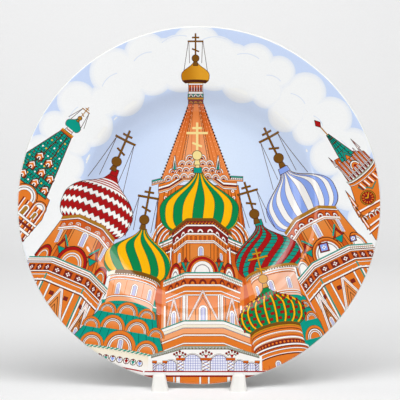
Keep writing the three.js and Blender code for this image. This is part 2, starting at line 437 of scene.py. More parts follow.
def hatch(surface, low, high, bottom, top, count, width, colour):
    """Short slanting strokes across a band."""
    lean = (high - low) / count * 0.7
    for u in spaced(low, high, count):
        line(surface, [(u - lean / 2, bottom), (u + lean / 2, top)], width, colour)


def eave(surface, path, layers):
    """Bands that follow a bent path, from the path down."""
    top = 0
    for thick, colour in layers:
        upper = [(u, v - top) for u, v in path]
        lower = [(u, v - top - thick) for u, v in reversed(path)]
        inked(surface, upper + lower, colour, THIN_INK)
        top += thick


def gable(surface, u, v, half, tall, colour, thick=1.0):
    """A steep white-edged triangle."""
    fill(surface, [(u - half, v), (u + half, v), (u, v + tall)], colour)
    for width, ink in ((thick + 0.5, INK), (thick, WHITE), (0.25, RUST)):
        line(surface, [(u - half, v), (u, v + tall), (u + half, v)], width, ink)


def cross(place, colour, dark=INK, chains=()):
    """A three-barred cross on a ball. The place is the ball's middle. chains are the outer
    and inner places where its chains are fixed to the dome, on one side."""
    for side in (-1, 1):
        for end_u, end_v in chains:
            line(place, [(side * 7.0, 17.2), (side * end_u, end_v)], 0.42, INK)
    bars = [
        ([(0, 2.5), (0, 25.2)], 1.15),
        ([(-3.2, 21.3), (3.2, 21.3)], 1.2),
        ([(-7.6, 17.4), (7.6, 17.4)], 1.3),
        ([(-3.2, 9.6), (3.2, 7.0)], 1.1),
    ]
    for edge, ink in ((0.5, dark), (0, colour)):
        for path, width in bars:
            line(place, path, (width + edge) * place.scale, ink)
    inked(place, taper(2.4, -7.5, 1.3, -2), colour)
    inked(place, circle(0, 0, 3.7), colour)


def dome_outline(dome, width=0.4):
    for side in (-90, 90):
        line(dome, [(side, k / 30) for k in range(31)], width, INK)


def striped_dome(dome, colours, share, twist, offset=0):
    """Stripes from base to tip, each share degrees wide, that turn by twist on the way up."""
    count = math.ceil((abs(twist) + 180) / share) + 2
    for k in range(-count, count):
        seen = []
        for t in (step / 22 for step in range(23)):
            low = k * share + offset + twist * t
            if max(-90, low) < min(90, low + share):
                seen.append((max(-90, low), min(90, low + share), t))
        if len(seen) < 2:
            continue
        outline = [(low, t) for low, high, t in seen]
        outline += [(high, t) for low, high, t in reversed(seen)]
        fill(dome, outline, colours[k % len(colours)])
        line(dome, [(low, t) for low, high, t in seen if low > -90], 0.26, INK)
    dome_outline(dome)


def dome_ring(dome, low, high, colour):
    ring = [(s, low) for s in range(-90, 91, 15)] + [(s, high) for s in range(90, -91, -15)]
    fill(dome, ring, colour)


def knob(place, height, colour, half=3.0, tall=5.0):
    """The plain collar at a dome's tip."""
    inked(place, taper(half, height, half * 0.85, height + tall), colour)


def roof_peak(place, half, tall, inner_half, inner_tall, foot=0):
    """A small red gable with an orange one inside it."""
    inked(place, taper(half, foot, 0, tall), RED)
    inked(place, taper(inner_half, foot, 0, inner_tall), ORANGE)


# ---------------------------------------------------------------- sky and clouds

def sky_colour(x, y):
    """The print's sky, made paler towards the well's middle by a painted reflection of the soft lights.
    """
    share = np.exp(-(((x - 12) / 62) ** 2) - ((y - 30) / 60) ** 2)[:, None]
    return SKY * (1 - share) + PAINTED_REFLECTION_SKY * share


def draw_sky():
    # the sky's paler middle is a painted reflection of the soft lights
    fill(WHOLE, circle(0, 0, PRINT_RADIUS + 2, 160), sky_colour)


def draw_clouds():
    """A bank of cloud round the upper rim, in lobes that leave gaps of sky at the lip. Only
    the bank's outer edge is shaded, and a few soft folds inside it."""
    inner = [
        (-112, -14, 17), (-104, 8, 18), (-99, 26, 13), (-92, 44, 11), (-82, 58, 17),
        (-58, 82, 17), (-36, 98, 17), (-14, 106, 22), (12, 106, 21), (34, 95, 19),
        (52, 84, 13), (67, 68, 15), (82, 54, 12), (98, 34, 15), (112, 8, 16),
        (124, -14, 14), (120, -30, 12),
    ]
    outer = [
        (-122, 4, 20), (-116, 30, 20), (-108, 56, 12), (-92, 76, 15), (-64, 98, 19),
        (-40, 112, 17), (-2, 116, 20), (42, 106, 15), (60, 98, 13), (80, 82, 16),
        (98, 62, 17), (114, 40, 15), (122, 16, 16),
    ]
    low = [
        (-124, -22, 15), (-116, -34, 15), (-104, -28, 12), (-73, -62, 14), (-66, -72, 12),
        (126, -26, 17), (116, -40, 12), (74, -52, 11), (79, -66, 9),
    ]
    between = [
        (-94, 62, 12), (-72, 76, 13), (-50, 96, 15), (-26, 110, 15), (26, 106, 15),
        (50, 94, 14), (72, 78, 14), (88, 64, 13), (104, 44, 13), (116, 22, 14), (-106, 40, 12),
    ]
    for shrink, share in ((0, 0.5), (0.9, 0.3), (1.9, 0.14), (3.4, 0)):
        colour = CLOUD * (1 - share) + CLOUD_SHADE * share
        for x, y, radius in inner + outer + low + between:
            fill(WHOLE, circle(x, y, radius - shrink, 40), colour)
    fold = CLOUD * 0.75 + CLOUD_SHADE * 0.25
    for x, y, radius in inner[3:14]:
        turn = math.degrees(math.atan2(y, x))
        arc = circle(x, y, radius * 0.95, 12, turn - 20, turn + 35)
        line(WHOLE, arc, 0.9, fold)
        line(WHOLE, arc, 0.35, CLOUD_SHADE)


# ---------------------------------------------------------------- the tent tower

def draw_tent_tower():
    draw_tent_walls()
    draw_tent()
    draw_tent_top()


def draw_tent_walls():
    wall = [(-29.5, 14), (-34, -27), (-42, -118), (45, -118), (35.8, -27), (29.7, 14)]
    inked(WHOLE, wall, fade(WHOLE, RUST, ORANGE, -30, 12))
    rings = [
        (19, WHITE), (18, ORANGE), (16.6, WHITE), (15.6, MAROON), (14.6, ORANGE),
        (13.2, WHITE), (12.2, RUST), (10.6, WHITE), (9.6, ORANGE), (7.6, WHITE),
        (6.8, MAROON), (5.4, ORANGE),
    ]
    for side in (-1, 1):
        head, foot = side * 27.6 + 0.4, side * 34 + 0.6
        for inset in (1.4, 4.4, 6.4, 9.4):
            line(WHOLE, [(head - side * inset, 12), (foot - side * inset, -34)], 0.42, INK)
        for radius, colour in ((1.25, WHITE), (0.6, MAROON)):
            beads(WHOLE, (head - side * 2.9, 12), (foot - side * 2.9, -34), 9, radius, colour)
        arches(WHOLE, side * 18.6 + 1, -32, rings, 1.1)
        upper = [(side * 12 + 1, -20), (side * 22 + 1, -26.2), (side * 31 + 1, -30)]
        eave(WHOLE, upper, [(1.1, TEAL), (1.6, WHITE), (0.5, PEACH), (1.3, WHITE), (1.2, ORANGE)])
        eave(WHOLE, [(u, v - 8) for u, v in upper], [(1.2, MAROON), (1.4, WHITE), (1.0, ORANGE)])
        line(WHOLE, [(side * 22 + 1, -34), (side * 22.6 + 1, -56)], 1.2, WHITE)
        for u in (27, 23, 20):
            line(WHOLE, [(side * u, -30), (side * (u + 2), -58)], 0.4, INK)
    path = [(-35.8, 17.8), (-26.3, 20.2), (-13.3, 27.4), (11.1, 28.0), (21.6, 21.4), (33.3, 20.8)]
    lower = [(u * 0.86, v - 3.2) for u, v in path]
    eave(WHOLE, lower, [(2.0, ORANGE), (1.6, WHITE), (1.2, MAROON), (1.4, PEACH), (0.9, WHITE)])
    eave(WHOLE, path, [(1.3, TEAL), (1.5, WHITE), (1.2, PEACH)])
    studs = [(u, v - 2.1) for u, v in path]
    for start, end in zip(studs, studs[1:]):
        beads(WHOLE, start, end, 8, 0.5, INK)


def draw_tent():
    top, foot = 76.8, 19
    left, right = (-8.1, -28.4), (3.4, 23.8)
    outline = [(left[0], top), (right[0], top), (right[1], foot), (left[1], foot)]
    inked(WHOLE, outline, fade(WHOLE, srgb(240, 160, 108), srgb(232, 132, 64), 35, 78))
    for near, far in ((left, -14.8), (right, 10.2)):
        rib = near[0] * 0.35 + (left[0] + right[0]) * 0.325
        face = [(near[0], top), (near[1], foot), (far, foot), (rib, top)]
        fill(WHOLE, face, fade(WHOLE, srgb(232, 132, 66), RUST, 40, 78))
        side = math.copysign(1, near[1])
        for share in (0.3, 0.62):
            high = rib + (near[0] - rib) * share
            low = far + (near[1] - far) * share
            line(WHOLE, [(high, top), (low, foot)], 0.4, RUST)
            beads(WHOLE, (high + side * 0.6, top), (low + side * 1.6, foot), 15, 0.4, PEACH)
        for shift in (-1.1, 1.1):
            line(WHOLE, [(rib + shift * 0.4, top), (far + shift, foot)], 0.36, INK)
        for radius, colour in ((0.7, PEACH), (0.34, MAROON)):
            beads(WHOLE, (rib, top), (far, foot), 17, radius, colour)
        for shift, radius, colour in ((0.4, 0.8, INK), (-0.7, 0.4, PEACH)):
            start, end = near[0] + side * shift, near[1] + side * shift
            beads(WHOLE, (start, top - 2), (end, foot), 24, radius, colour)
    for u in (-4.6, -0.2):
        line(WHOLE, [(u, top), (u * 1.5 + 1, 40)], 0.3, RUST)
    for row, (v, count, half) in enumerate(((19.8, 8, 24), (24.6, 8, 20), (29.6, 5, 13), (34, 3, 7))):
        rings = [(3.1, WHITE), (2.3, (PEACH, ORANGE)[row % 2]), (1.5, WHITE), (1.0, MAROON)]
        for u in spaced(-half - 2.4, half - 2.4, count):
            arches(WHOLE, u, v - 0.2 * max(0, abs(u + 2.3) - 12), rings, 1.2)
    for u in (-18.6, 14.4):
        inked(WHOLE, [(u - 1.8, 26), (u + 1.8, 26), (u + 0.4, 37), (u - 0.2, 37)], WHITE)
        inked(WHOLE, [(u - 1.0, 26), (u + 1.0, 26), (u + 0.2, 33)], TEAL)


def draw_tent_top():
    place = Place(-2.6, 0)
    neck = [
        (90.6, 5.6, 1.2, WHITE), (89.4, 5.4, 4.6, RUST), (84.8, 5.6, 1.6, WHITE),
        (83.2, 5.9, 2.2, TEAL), (81.0, 6.0, 1.4, OCHRE), (79.6, 5.7, 2.8, MAROON),
    ]
    for top, half, thick, colour in neck:
        inked(place, oblong(-half, top - thick, half, top), colour, 0.36)
    for u in spaced(-5, 5, 5):
        fill(place, arch(u, 85.4, 0.75, 1.6), MAROON)
        posts(place, u + 1, 85, 89, 0.3, WHITE)
    for u in spaced(-5.4, 5.4, 3):
        arches(place, u, 81.4, [(1.5, WHITE), (0.8, MAROON)])
        arches(place, u, 77, [(1.4, OCHRE), (0.8, RUST)])
    for side in (-1, 1):
        line(place, [(side * 5.6, 122.2), (side * 9.2, 98)], 0.4, INK)
        line(place, [(side * 5.2, 122.2), (side * 4.6, 106)], 0.4, INK)
    dome = Onion(Place(-2.8, 90.6), 7.2, 10.6, 17, bow=0.8, tip=1.0, wide_at=0.36)
    gilded = fade(dome.place, srgb(190, 122, 10), srgb(226, 160, 40), -8, 6, "u")
    striped_dome(dome, [gilded], 200, 0, -100)
    dome_ring(dome, 0, 0.13, INK)
    cross(Place(-2.7, 109.6, 0, 0.74), BROWN)


# ---------------------------------------------------------------- the middle tower

def draw_middle_dome():
    dome = Onion(Place(0.2, -21), 21, 29.9, 45, bow=1.5, tip=2.6, wide_at=0.37)
    striped_dome(dome, [GREEN, YELLOW], 20, 13, -16)
    knob(Place(-1.0, 0), 23.4, TEAL, 3.4, 4.6)
    inked(Place(-1.2, 0), taper(1.5, 27.5, 1.3, 35), PALE_GOLD, 0.3)
    cross(Place(-1.5, 37.2), PALE_GOLD, PALE_GOLD)


def draw_middle_tower():
    draw_middle_drum()
    draw_middle_kokoshniks()
    draw_middle_wall()


def draw_middle_drum():
    """The tower under the dome: brown eave, arched frieze, windows."""
    tower = Prism(WHOLE, 0.9, 10.3, 0.82)
    reach = tower.reach(9.6)
    fill(tower, oblong(-reach, -46, reach, -12.5), ORANGE)
    bottom = bands(tower, tower.reach(13.4), -11.2, [(2.4, BROWN)])
    bottom = bands(tower, tower.reach(11), bottom, [(2.6, MAROON)])
    for s in spaced(-reach, reach, 20):
        fill(tower, circle(s, bottom + 0.9, 0.6, 6), OCHRE)
        fill(tower, circle(s + 0.9, bottom + 1.9, 0.5, 6), RUST)
    bottom = bands(tower, tower.reach(10.6), bottom, [(1.2, WHITE), (0.4, MAROON), (4.8, MAROON)])
    rings = [(2.9, RED), (2.1, WHITE), (0.9, INK)]
    arches(tower, spaced(-reach, reach, 7), bottom + 0.6, rings, 1.15)
    bottom = bands(tower, tower.reach(10), bottom, [(1.2, WHITE), (0.5, PEACH), (3.8, ORANGE)])
    for s in spaced(-reach, reach, 15):
        inked(tower, oblong(s - 0.7, bottom + 0.3, s + 0.7, bottom + 3), RUST, 0.3)
    bottom = bands(tower, reach, bottom, [(0.9, WHITE), (0.5, PEACH), (0.8, WHITE)])
    posts(tower, (-14.2, -10.3, -7.8, 7.8, 10.3, 14.2), bottom, -46, 0.42, INK)
    fill(tower, oblong(-7.6, -42, 7.6, bottom - 1), srgb(226, 134, 58))
    windows(tower, 0.4, -40, 4.2, 7.4)
    for s in (-19, 19):
        windows(tower, s, -42, 3.4, 8.6)
        posts(tower, (s - 3.4, s + 3.4), bottom, -46, 0.36, INK)


def draw_middle_kokoshniks():
    """Pointed and round gables under the drum."""
    tower = Prism(WHOLE, 2.4, 13.6, 0.5)
    fill(tower, oblong(-tower.reach(13), -56, tower.reach(13), -43), ORANGE)
    for side in (-1, 1):
        roof = Place(2.4 + side * 12.4, -50)
        roof_peak(roof, 4.6, 9, 3.0, 6)
        inked(roof, [(-3.6, 5.4), (3.6, 5.4), (0.8, -1.6), (-0.8, -1.6)], TEAL)
        inked(roof, [(-1.2, 5.4), (1.2, 5.4), (0, 1)], RUST)
    small = [(7.0, INK), (6.6, RED), (5.2, ORANGE), (4.4, WHITE), (2.9, GREY), (2.5, WHITE)]
    arches(tower, (-24.5, 24.5), -52.8, small, 1.5)
    large = [(12.0, ORANGE), (11.2, RED), (9.4, ORANGE), (8.2, WHITE), (5.8, GREY), (5.4, WHITE)]
    arches(tower, 0, -52.6, large, 1.08)


def draw_middle_wall():
    """The broad lower storeys, from the teal cornice down to the gallery's roof."""
    tower = Prism(WHOLE, 2.8, 13.4, 0.42)
    reach, foot = tower.reach(17), -88.6
    fill(tower, oblong(-reach, -112, reach, -53), fade(WHOLE, srgb(238, 160, 110), ORANGE, -92, -74))
    lower = Prism(WHOLE, 3.4, 14.6, 0.38)
    reach = lower.reach(20)
    fill(lower, oblong(-reach, -112, reach, -92), fade(WHOLE, ORANGE, PEACH, -104, -90))
    bottom = bands(tower, tower.reach(16), -52, [(1.0, TEAL), (1.4, WHITE), (0.5, PEACH), (1.7, WHITE)])
    for side in (-1, 1):
        low, high = sorted((side * 14, side * tower.reach(15.5)))
        hatch(tower, low, high, bottom + 0.2, bottom + 3.4, 12, 0.36, SAGE)
    bottom = bands(tower, tower.reach(14.5), bottom, [(4.6, RUST)])
    niches = spaced(-tower.reach(13), tower.reach(13), 9)
    arches(tower, niches, bottom + 0.3, [(2.6, MAROON), (1.5, ORANGE)], 1.3)
    bottom = bands(tower, tower.reach(14.5), bottom, [(1.3, WHITE), (0.5, PEACH), (3.0, ORANGE)])
    bottom = bands(tower, tower.reach(14), bottom, [(0.9, WHITE), (1.9, ORANGE), (0.9, WHITE)])
    for s in (-13.4, 13.4):
        for shift in (-1.7, 0, 1.7):
            posts(tower, s + shift, bottom, foot, 1.4, INK)
            posts(tower, s + shift, bottom, foot, 0.9, WHITE)
    gable(tower, 0, foot, 11, 22.5, fade(WHOLE, PEACH, ORANGE, -84, -72), 1.1)
    line(tower, [(-5.4, foot), (-5.4, foot + 8), (0, foot + 18), (5.4, foot + 8), (5.4, foot)], 0.4, INK)
    windows(tower, 0.2, foot, 6.4, 11.5)
    posts(tower, 0.2, foot, foot + 9, 0.4, WHITE)
    for s in (-26.5, 26.5):
        gable(tower, s, foot, 7.6, 20, fade(WHOLE, PEACH, ORANGE, -88, -76))
        windows(tower, s, foot, 6.2, 10.5)
        posts(tower, s, foot, foot + 8, 0.4, WHITE)
    posts(tower, (-37, 37), -72, foot, 1.2, WHITE)
    posts(tower, (-19, -34.5, 19, 34.5), bottom, foot, 0.42, INK)
    layers = [(0.9, TEAL), (2.2, WHITE), (2.4, CREAM), (0.5, GREY), (3.8, PEACH)]
    bottom = bands(lower, lower.reach(19), foot, layers)
    layers = [(0.6, ORANGE), (1.1, WHITE), (0.4, PEACH), (4.6, ORANGE), (1.0, WHITE)]
    bottom = bands(lower, reach, bottom, layers)
    niches = spaced(-lower.reach(19), lower.reach(19), 24)
    arches(lower, niches, bottom - 3.8, [(1.5, MAROON), (0.9, OCHRE)])


def draw_gallery():
    """The white gallery at the foot, with latticed arches between painted piers."""
    wall = Prism(WHOLE, 4.4, 16.6, 0.28)
    side = wall.reach(22)
    fill(wall, oblong(-side - 4, -136, side + 4, -108), WHITE)
    bands(wall, side + 1, -107.4, [(2.4, SAGE)])
    beads(wall, (-side, -108.6), (side, -108.6), 44, 0.62, GREY)
    beads(wall, (-side, -109.2), (side, -109.2), 40, 0.4, INK)
    bottom = -125.2
    base = Prism(WHOLE, 4.4, 40, 0)
    fill(base, oblong(-48, -127, 48, bottom), WHITE)
    openings = ((-9.2, 6.6, 4.9), (10.2, 6.3, 4.9), (-24.6, 3.6, 3.6), (24.6, 3.6, 3.6),
                (-32.8, 2.5, 2.2), (33.6, 2.7, 2.6))
    for u, half, stilt in openings:
        latticed_arch(Place(4.4 + u, bottom), half, stilt)
    piers = ((0.6, 4.0), (-17.8, 3.2), (18.4, 3.2), (-29.2, 1.6), (29.4, 1.8), (37.6, 1.7),
             (-36.6, 1.6))
    for u, half in piers:
        painted_pier(Place(4.4 + u, bottom), half)
    for u, v in ((0.6, -113.2), (-18.4, -113.6), (19.4, -113.0)):
        posy(Place(4.4 + u, v))
    bands(base, 46, -125.4, [(0.9, RED), (2.3, WHITE), (0.9, RED)])
    fill(base, oblong(-60, -140, 60, -129.5), ORANGE)
    line(base, [(-50, -129.6), (50, -129.6)], 0.3, INK)
    for u, half in ((-22.5, 0.5), (-19.5, 1.4), (-3.6, 0.7), (2.6, 0.7), (17, 1.2), (21, 0.6)):
        inked(base, taper(half, -140, half, -129.6, u), WHITE, 0.22)


def latticed_arch(place, half, stilt):
    arches(place, 0, 0, [(half + 0.9, WHITE), (half + 0.2, PEACH), (half, srgb(240, 240, 250))], 1, stilt)
    gap = 1.75
    ink = srgb(140, 146, 206)
    for x in np.arange(gap - half, half, gap):
        posts(place, x, 0, stilt + math.sqrt(max(0, half * half - x * x)), 0.36, ink)
    for y in np.arange(gap, stilt + half, gap):
        reach = math.sqrt(max(0, half * half - max(0, y - stilt) ** 2))
        line(place, [(-reach, y), (reach, y)], 0.36, ink)


def painted_pier(place, half):
    """A pier with crossed strokes under an orange capital."""
    tall = 7.4 if half > 2 else 5.4
    inked(place, taper(half * 0.72, 0, half * 0.72, tall), WHITE, 0.26)
    for k in range(3):
        low, high = tall * k / 3, tall * (k + 1) / 3
        line(place, [(-half * 0.6, low), (half * 0.6, high)], 0.55, MAROON)
        line(place, [(half * 0.6, low), (-half * 0.6, high)], 0.4, BLUE)
    inked(place, taper(half, tall, half, tall + 1.7), RUST, 0.3)
    line(place, [(-half, tall + 1.2), (half, tall + 1.2)], 0.4, ORANGE)


def posy(place):
    """A small bunch of dark red flowers."""
    for u, v in ((-4, 0.2), (4, 0.2), (-2.2, 1.2), (2.2, 1.2), (0, 2.2)):
        fill(place, circle(u, v, 0.95, 8), MAROON)
        fill(place, circle(u * 0.7, v - 1.4, 0.6, 6), SAGE)
    line(place, [(-3.6, -0.4), (0, -1.0), (3.6, -0.4)], 0.36, INK)
    fill(place, [(-1.5, -0.6), (1.5, -0.6), (0, -3.4)], RED)


# ---------------------------------------------------------------- the left swirled tower

def draw_swirl_tower():
    place = Place(-47.9, -56.7, 9.5)
    draw_tiers(place)
    dome = Onion(place, 17.3, 24.6, 38, bow=3.4, tip=2.2, wide_at=0.36, neck=0.16)
    striped_dome(dome, [YELLOW, GREEN], 23, -66, 20)
    drum, wide = Drum(place, 17.4, 5), Drum(place, 19.6, 6)
    shade = fade(place, PEACH, srgb(240, 182, 150), -12, 10, "u")
    fill(drum, oblong(-drum.edge, -18.6, drum.edge, 3.4), shade)
    bottom = studded_eave(wide, 5.6, [(3.0, BROWN), (0.9, CREAM)])
    fill(wide, oblong(-wide.edge, 2.4, -wide.edge * 0.55, 5.4), CREAM)
    bottom = bands(drum, drum.edge, bottom, [(0.5, PEACH), (1.0, WHITE), (1.4, ORANGE), (0.8, WHITE)])
    windows(drum, (-11, 1.6, 15), -13.6, 4.4, 9)
    posts(drum, (-16, -5, 8, 20), bottom, -13, 0.42, ORANGE)
    bands(drum, drum.edge, -13.6, [(0.8, ORANGE), (0.9, WHITE)])
    cross(Place(-41.3, -12.4, 10), BROWN, chains=((12, -15), (6.6, -9)))


def studded_eave(drum, top, layers):
    """Bands under a dome, with beads along their lower edge. Returns the bottom."""
    bottom = bands(drum, drum.edge, top, layers)
    beads(drum, (-drum.edge, bottom + 0.5), (drum.edge, bottom + 0.5), 30, 0.5, INK)
    return bottom


def scaled_rings(radius, layers):
    """Rings whose sizes are given as shares of the largest radius."""
    return [(radius * share, colour) for share, colour in layers]


def draw_tiers(place):
    """Rows of arched gables that widen downwards, with teal roof between them."""
    body = [(-13, -14), (-20, -27), (-29, -40), (-38, -54), (-36, -58), (34, -58), (24, -36),
            (18, -14)]
    inked(place, body, TEAL)
    for k in range(11):
        u = -26 + k * 5.2
        line(place, [(u * 0.7, -15), (u * 1.25, -56)], 0.34, DARK_TEAL)
    rows = (
        (-28.2, ((-14.6, 6.6), (-0.1, 8.0), (14.4, 6.4))),
        (-40.0, ((-24.4, 6.8), (-8.7, 9.0), (9.2, 9.0), (23.4, 6.2))),
        (-53.6, ((-35, 5.8), (-21.4, 8.8), (-1.2, 11.8), (18.6, 8.8), (31, 5.2))),
    )
    bands(Drum(place, 30, 8), 22, -17.4, [(1.0, WHITE), (3.2, TEAL)])
    layers = [(1, ORANGE), (0.78, MAROON), (0.75, WHITE), (0.68, PEACH), (0.64, WHITE)]
    for v, row in rows:
        for u, radius in row:
            middle = (0.56, fade(place, ORANGE, PEACH, v, v + radius))
            arches(place, u, v - 0.0022 * u * u, scaled_rings(radius, [*layers, middle]), 1.12)
    windows(place, -1.0, -53.6, 3.8, 7.2)
    ledge = Drum(place, 60, 8)
    bands(ledge, 44, -53.4, [(1.7, TEAL), (0.8, CREAM)])
    hatch(ledge, -40, 40, -55, -53.6, 26, 0.6, CREAM)
    fill(ledge, oblong(-46, -72, 40, -55.8), fade(place, WHITE, CREAM, -66, -56))
    for k, s in enumerate(spaced(-22, 18, 8)):
        inked(ledge, circle(s, -61.4, 2.2, 8), WHITE, 0.5)
        petals = [(s - 1.5, -60.6), (s + 1.5, -60.6), (s, -63.4)]
        fill(ledge, petals, (LILAC, RED, TEAL, BLUE)[k % 4])
        fill(ledge, circle(s, -59.9, 0.8, 6), MAROON)
    line(ledge, level(-34, 30, -66.6), 0.9, RED)


# ---------------------------------------------------------------- the two side towers

def side_tower(place, ornament):
    """An eight-sided tower with three arched gables over a heavy cornice."""
    draw_side_base(place)
    drum = Prism(place, -0.4, 9.2, 0.56)
    reach, foot = drum.reach(10.6), -34
    outline = [(-10.5, 4), (9.7, 4), (20.6, -3), (27, foot), (-28, foot), (-21, -3)]
    inked(place, outline, fade(place, ORANGE, srgb(228, 140, 66), -25, 0))
    for side in (-1, 1):
        top = [(side * 10.1 - 0.4, -2), (side * 12.6 - 0.4, -2)]
        shade = [*top, (side * 16, foot), (side * 12.4, foot)]
        inked(place, shade, RUST, 0.4)
        line(place, [(side * 8.4 - 0.4, 0), (side * 10.2, foot)], 0.4, INK)
        line(place, [(side * 14.2 - 0.4, -5), (side * 18.6, foot)], 0.4, INK)
    bottom = bands(drum, drum.reach(11.6), 6.8, [(2.7, GOLD), (0.9, WHITE)])
    bottom = bands(drum, reach, bottom, [(0.5, MAROON), (5.0, RUST)])
    for s in spaced(-reach, reach, 7):
        ornament(drum, s, bottom + 2.5)
    bands(drum, reach, bottom, [(1.3, WHITE), (0.6, PEACH), (0.7, WHITE)])
    windows(drum, 0.4, -15.5, 4.6, 11.5)
    windows(drum, (-22, 22), -15, 3.8, 11)
    for side in (-1, 1):
        roof = Place(*place.at(side * 12, -20), place.tilt)
        roof_peak(roof, 4.2, 7.4, 2.6, 4.6, -1)
        line(roof, [(side * 1.2, 8.2), (-side * 3.4, 1.4)], 1.3, TEAL)
        inked(roof, [(-3.4, -1), (3.4, -1), (0.6, -6), (-0.6, -6)], TEAL)


def draw_side_base(place):
    """The storey under the cornice, which runs off the plate's edge."""
    tower = Prism(place, 0.2, 14.6, 0.42)
    body = tower.reach(14.6)
    fill(tower, oblong(-body, -110, body, -34), ORANGE)
    bottom = bands(tower, body, -35.4, [(5.4, RUST)])
    for s in spaced(-body, body, 9):
        inked(tower, oblong(s - 2.7, bottom + 0.5, s + 2.7, bottom + 4.9), MAROON, 0.4)
        posy_cross(tower, s, bottom + 2.7)
    layers = [(0.9, WHITE), (0.5, MAROON), (1.4, ORANGE), (0.7, WHITE), (3, ORANGE)]
    bottom = bands(tower, body, bottom, layers)
    posts(tower, (-14.6, 14.6), bottom + 4, -110, 1.0, TEAL)
    for s in (-30, -22, -16.6, -9.4, 9.4, 16.6, 22, 30):
        posts(tower, s, bottom, -104, 1.7, INK)
        posts(tower, s, bottom, -104, 1.15, WHITE)
    foot = bottom - 34
    for s, half in ((-26, 8.6), (0, 11.4), (26, 8.6)):
        gable(tower, s, foot, half, 33, srgb(228, 138, 66), 1.6)
        for inset in (2.6, 4.4):
            path = [(s - half + inset, foot), (s, bottom - 1 - inset * 3), (s + half - inset, foot)]
            line(tower, path, 0.44, INK)
        windows(tower, s, foot, 4.6, 13)
    for s in (-20, 20, -5.6, 5.6):
        inked(tower, oblong(s - 1.5, bottom - 9.2, s + 1.5, bottom - 6.4), MAROON, 0.3)
    bands(tower, body, bottom, [(1.3, WHITE), (0.6, MAROON)])


def draw_side_gables(place, rings, small_rings):
    """The three arched gables that stand on the cornice, and the cornice itself."""
    tower = Prism(place, 0.2, 14.6, 0.42)
    arches(tower, (-27.5, 27.5), -30.4, small_rings, 1.25)
    arches(tower, -1.2, -30.4, rings, 1.22)
    layers = [(1.0, TEAL), (1.1, WHITE), (0.5, PEACH), (1.1, WHITE), (0.6, MAROON), (0.9, WHITE)]
    bottom = bands(tower, tower.reach(16.4), -29.6, layers)
    hatch(tower, 14.8, tower.reach(16), bottom + 1.2, bottom + 3.8, 12, 0.36, SAGE)


def posy_cross(surface, s, v):
    """A white cross of four petals."""
    for du, dv in ((-1, 0), (1, 0), (0, -1), (0, 1)):
        fill(surface, circle(s + du, v + dv, 0.62, 6), WHITE)
    fill(surface, circle(s, v, 0.42, 6), RED)


def lace(surface, s, v):
    arches(surface, s, v - 1.6, [(2.1, WHITE), (1.5, PEACH), (0.7, WHITE)])


def eye(surface, s, v):
    arches(surface, s, v - 2, [(2.6, RED), (2.0, WHITE), (0.9, MAROON)], 1.2)


def draw_zigzag_tower():
    place = Place(-82, -20, 22.3)
    dome = Onion(place, 19.8, 26.9, 46, bow=5.2, tip=2.6, wide_at=0.36, neck=0.1)
    zigzag_dome(dome, WHITE, RED)
    side_tower(place, lace)
    large = [
        (11.4, INK), (11.0, RED), (9.0, ORANGE), (7.4, WHITE), (6.5, PEACH), (5.7, WHITE),
        (4.9, ORANGE),
    ]
    small = [(8.4, INK), (8.0, RED), (6.2, ORANGE), (5.0, WHITE), (4.2, PEACH), (3.7, ORANGE)]
    draw_side_gables(place, large, small)
    knob(place, 44.5, RED, 3.0, 5.5)
    cross(Place(-62.6, 32.1, 23), BROWN, chains=((14, -20), (7.5, -14.6)))


def zigzag_dome(dome, ground, colour):
    """Level zigzag stripes, then plain rings, then a plain tip."""
    levels = [k / 30 for k in range(31)]
    fill(dome, [(-90, t) for t in levels] + [(90, t) for t in reversed(levels)], ground)
    teeth = 28
    half, swing, gap = 0.056, 0.026, 0.197
    for k in range(4):
        upper, lower = [], []
        for tooth in range(teeth + 1):
            s = -90 + 180 * tooth / teeth
            middle = -0.01 + k * gap + (swing if tooth % 2 else -swing)
            upper.append((s, max(0, middle + half)))
            lower.append((s, max(0, middle - half)))
        fill(dome, upper + lower[::-1], colour)
        line(dome, upper, 0.3, INK)
        line(dome, lower, 0.3, INK)
    for low, high in ((0.70, 0.725), (0.75, 0.775), (0.80, 0.83), (0.86, 1)):
        dome_ring(dome, low, high, colour)
    dome_outline(dome)


def draw_striped_tower():
    place = Place(83.2, -13.2, -26)
    dome = Onion(place, 19.6, 26.9, 43, bow=5.0, tip=3.4, wide_at=0.38, neck=0.14)
    striped_dome(dome, [BLUE, WHITE], 13.85, 6, -9.4)
    side_tower(place, eye)
    large = [(11.6, INK), (11.2, ORANGE), (9.8, RUST), (8.9, WHITE), (7.7, GREY), (7.3, WHITE)]
    small = [(8.6, INK), (8.2, ORANGE), (6.4, WHITE), (5.4, GREY), (5.0, WHITE)]
    draw_side_gables(place, large, small)
    for u, v, half in ((-1.4, -23.6, 3.4), (20.5, -27.2, 2.2)):
        tile_square(Place(*place.at(u, v), -14), half)
    knob(place, 41, BLUE, 4.2, 4.4)
    cross(Place(60.4, 34.8, -25), BROWN, chains=((14, -20), (7.5, -14.6)))


def tile_square(place, half):
    """A square painted tile with a small flower."""
    inked(place, taper(half, -half, half, half), MAROON)
    inner = half * 0.72
    fill(place, taper(inner, -inner, inner, inner), BLUE)
    posy_cross(place, 0, 0)


# ---------------------------------------------------------------- the lower right towers

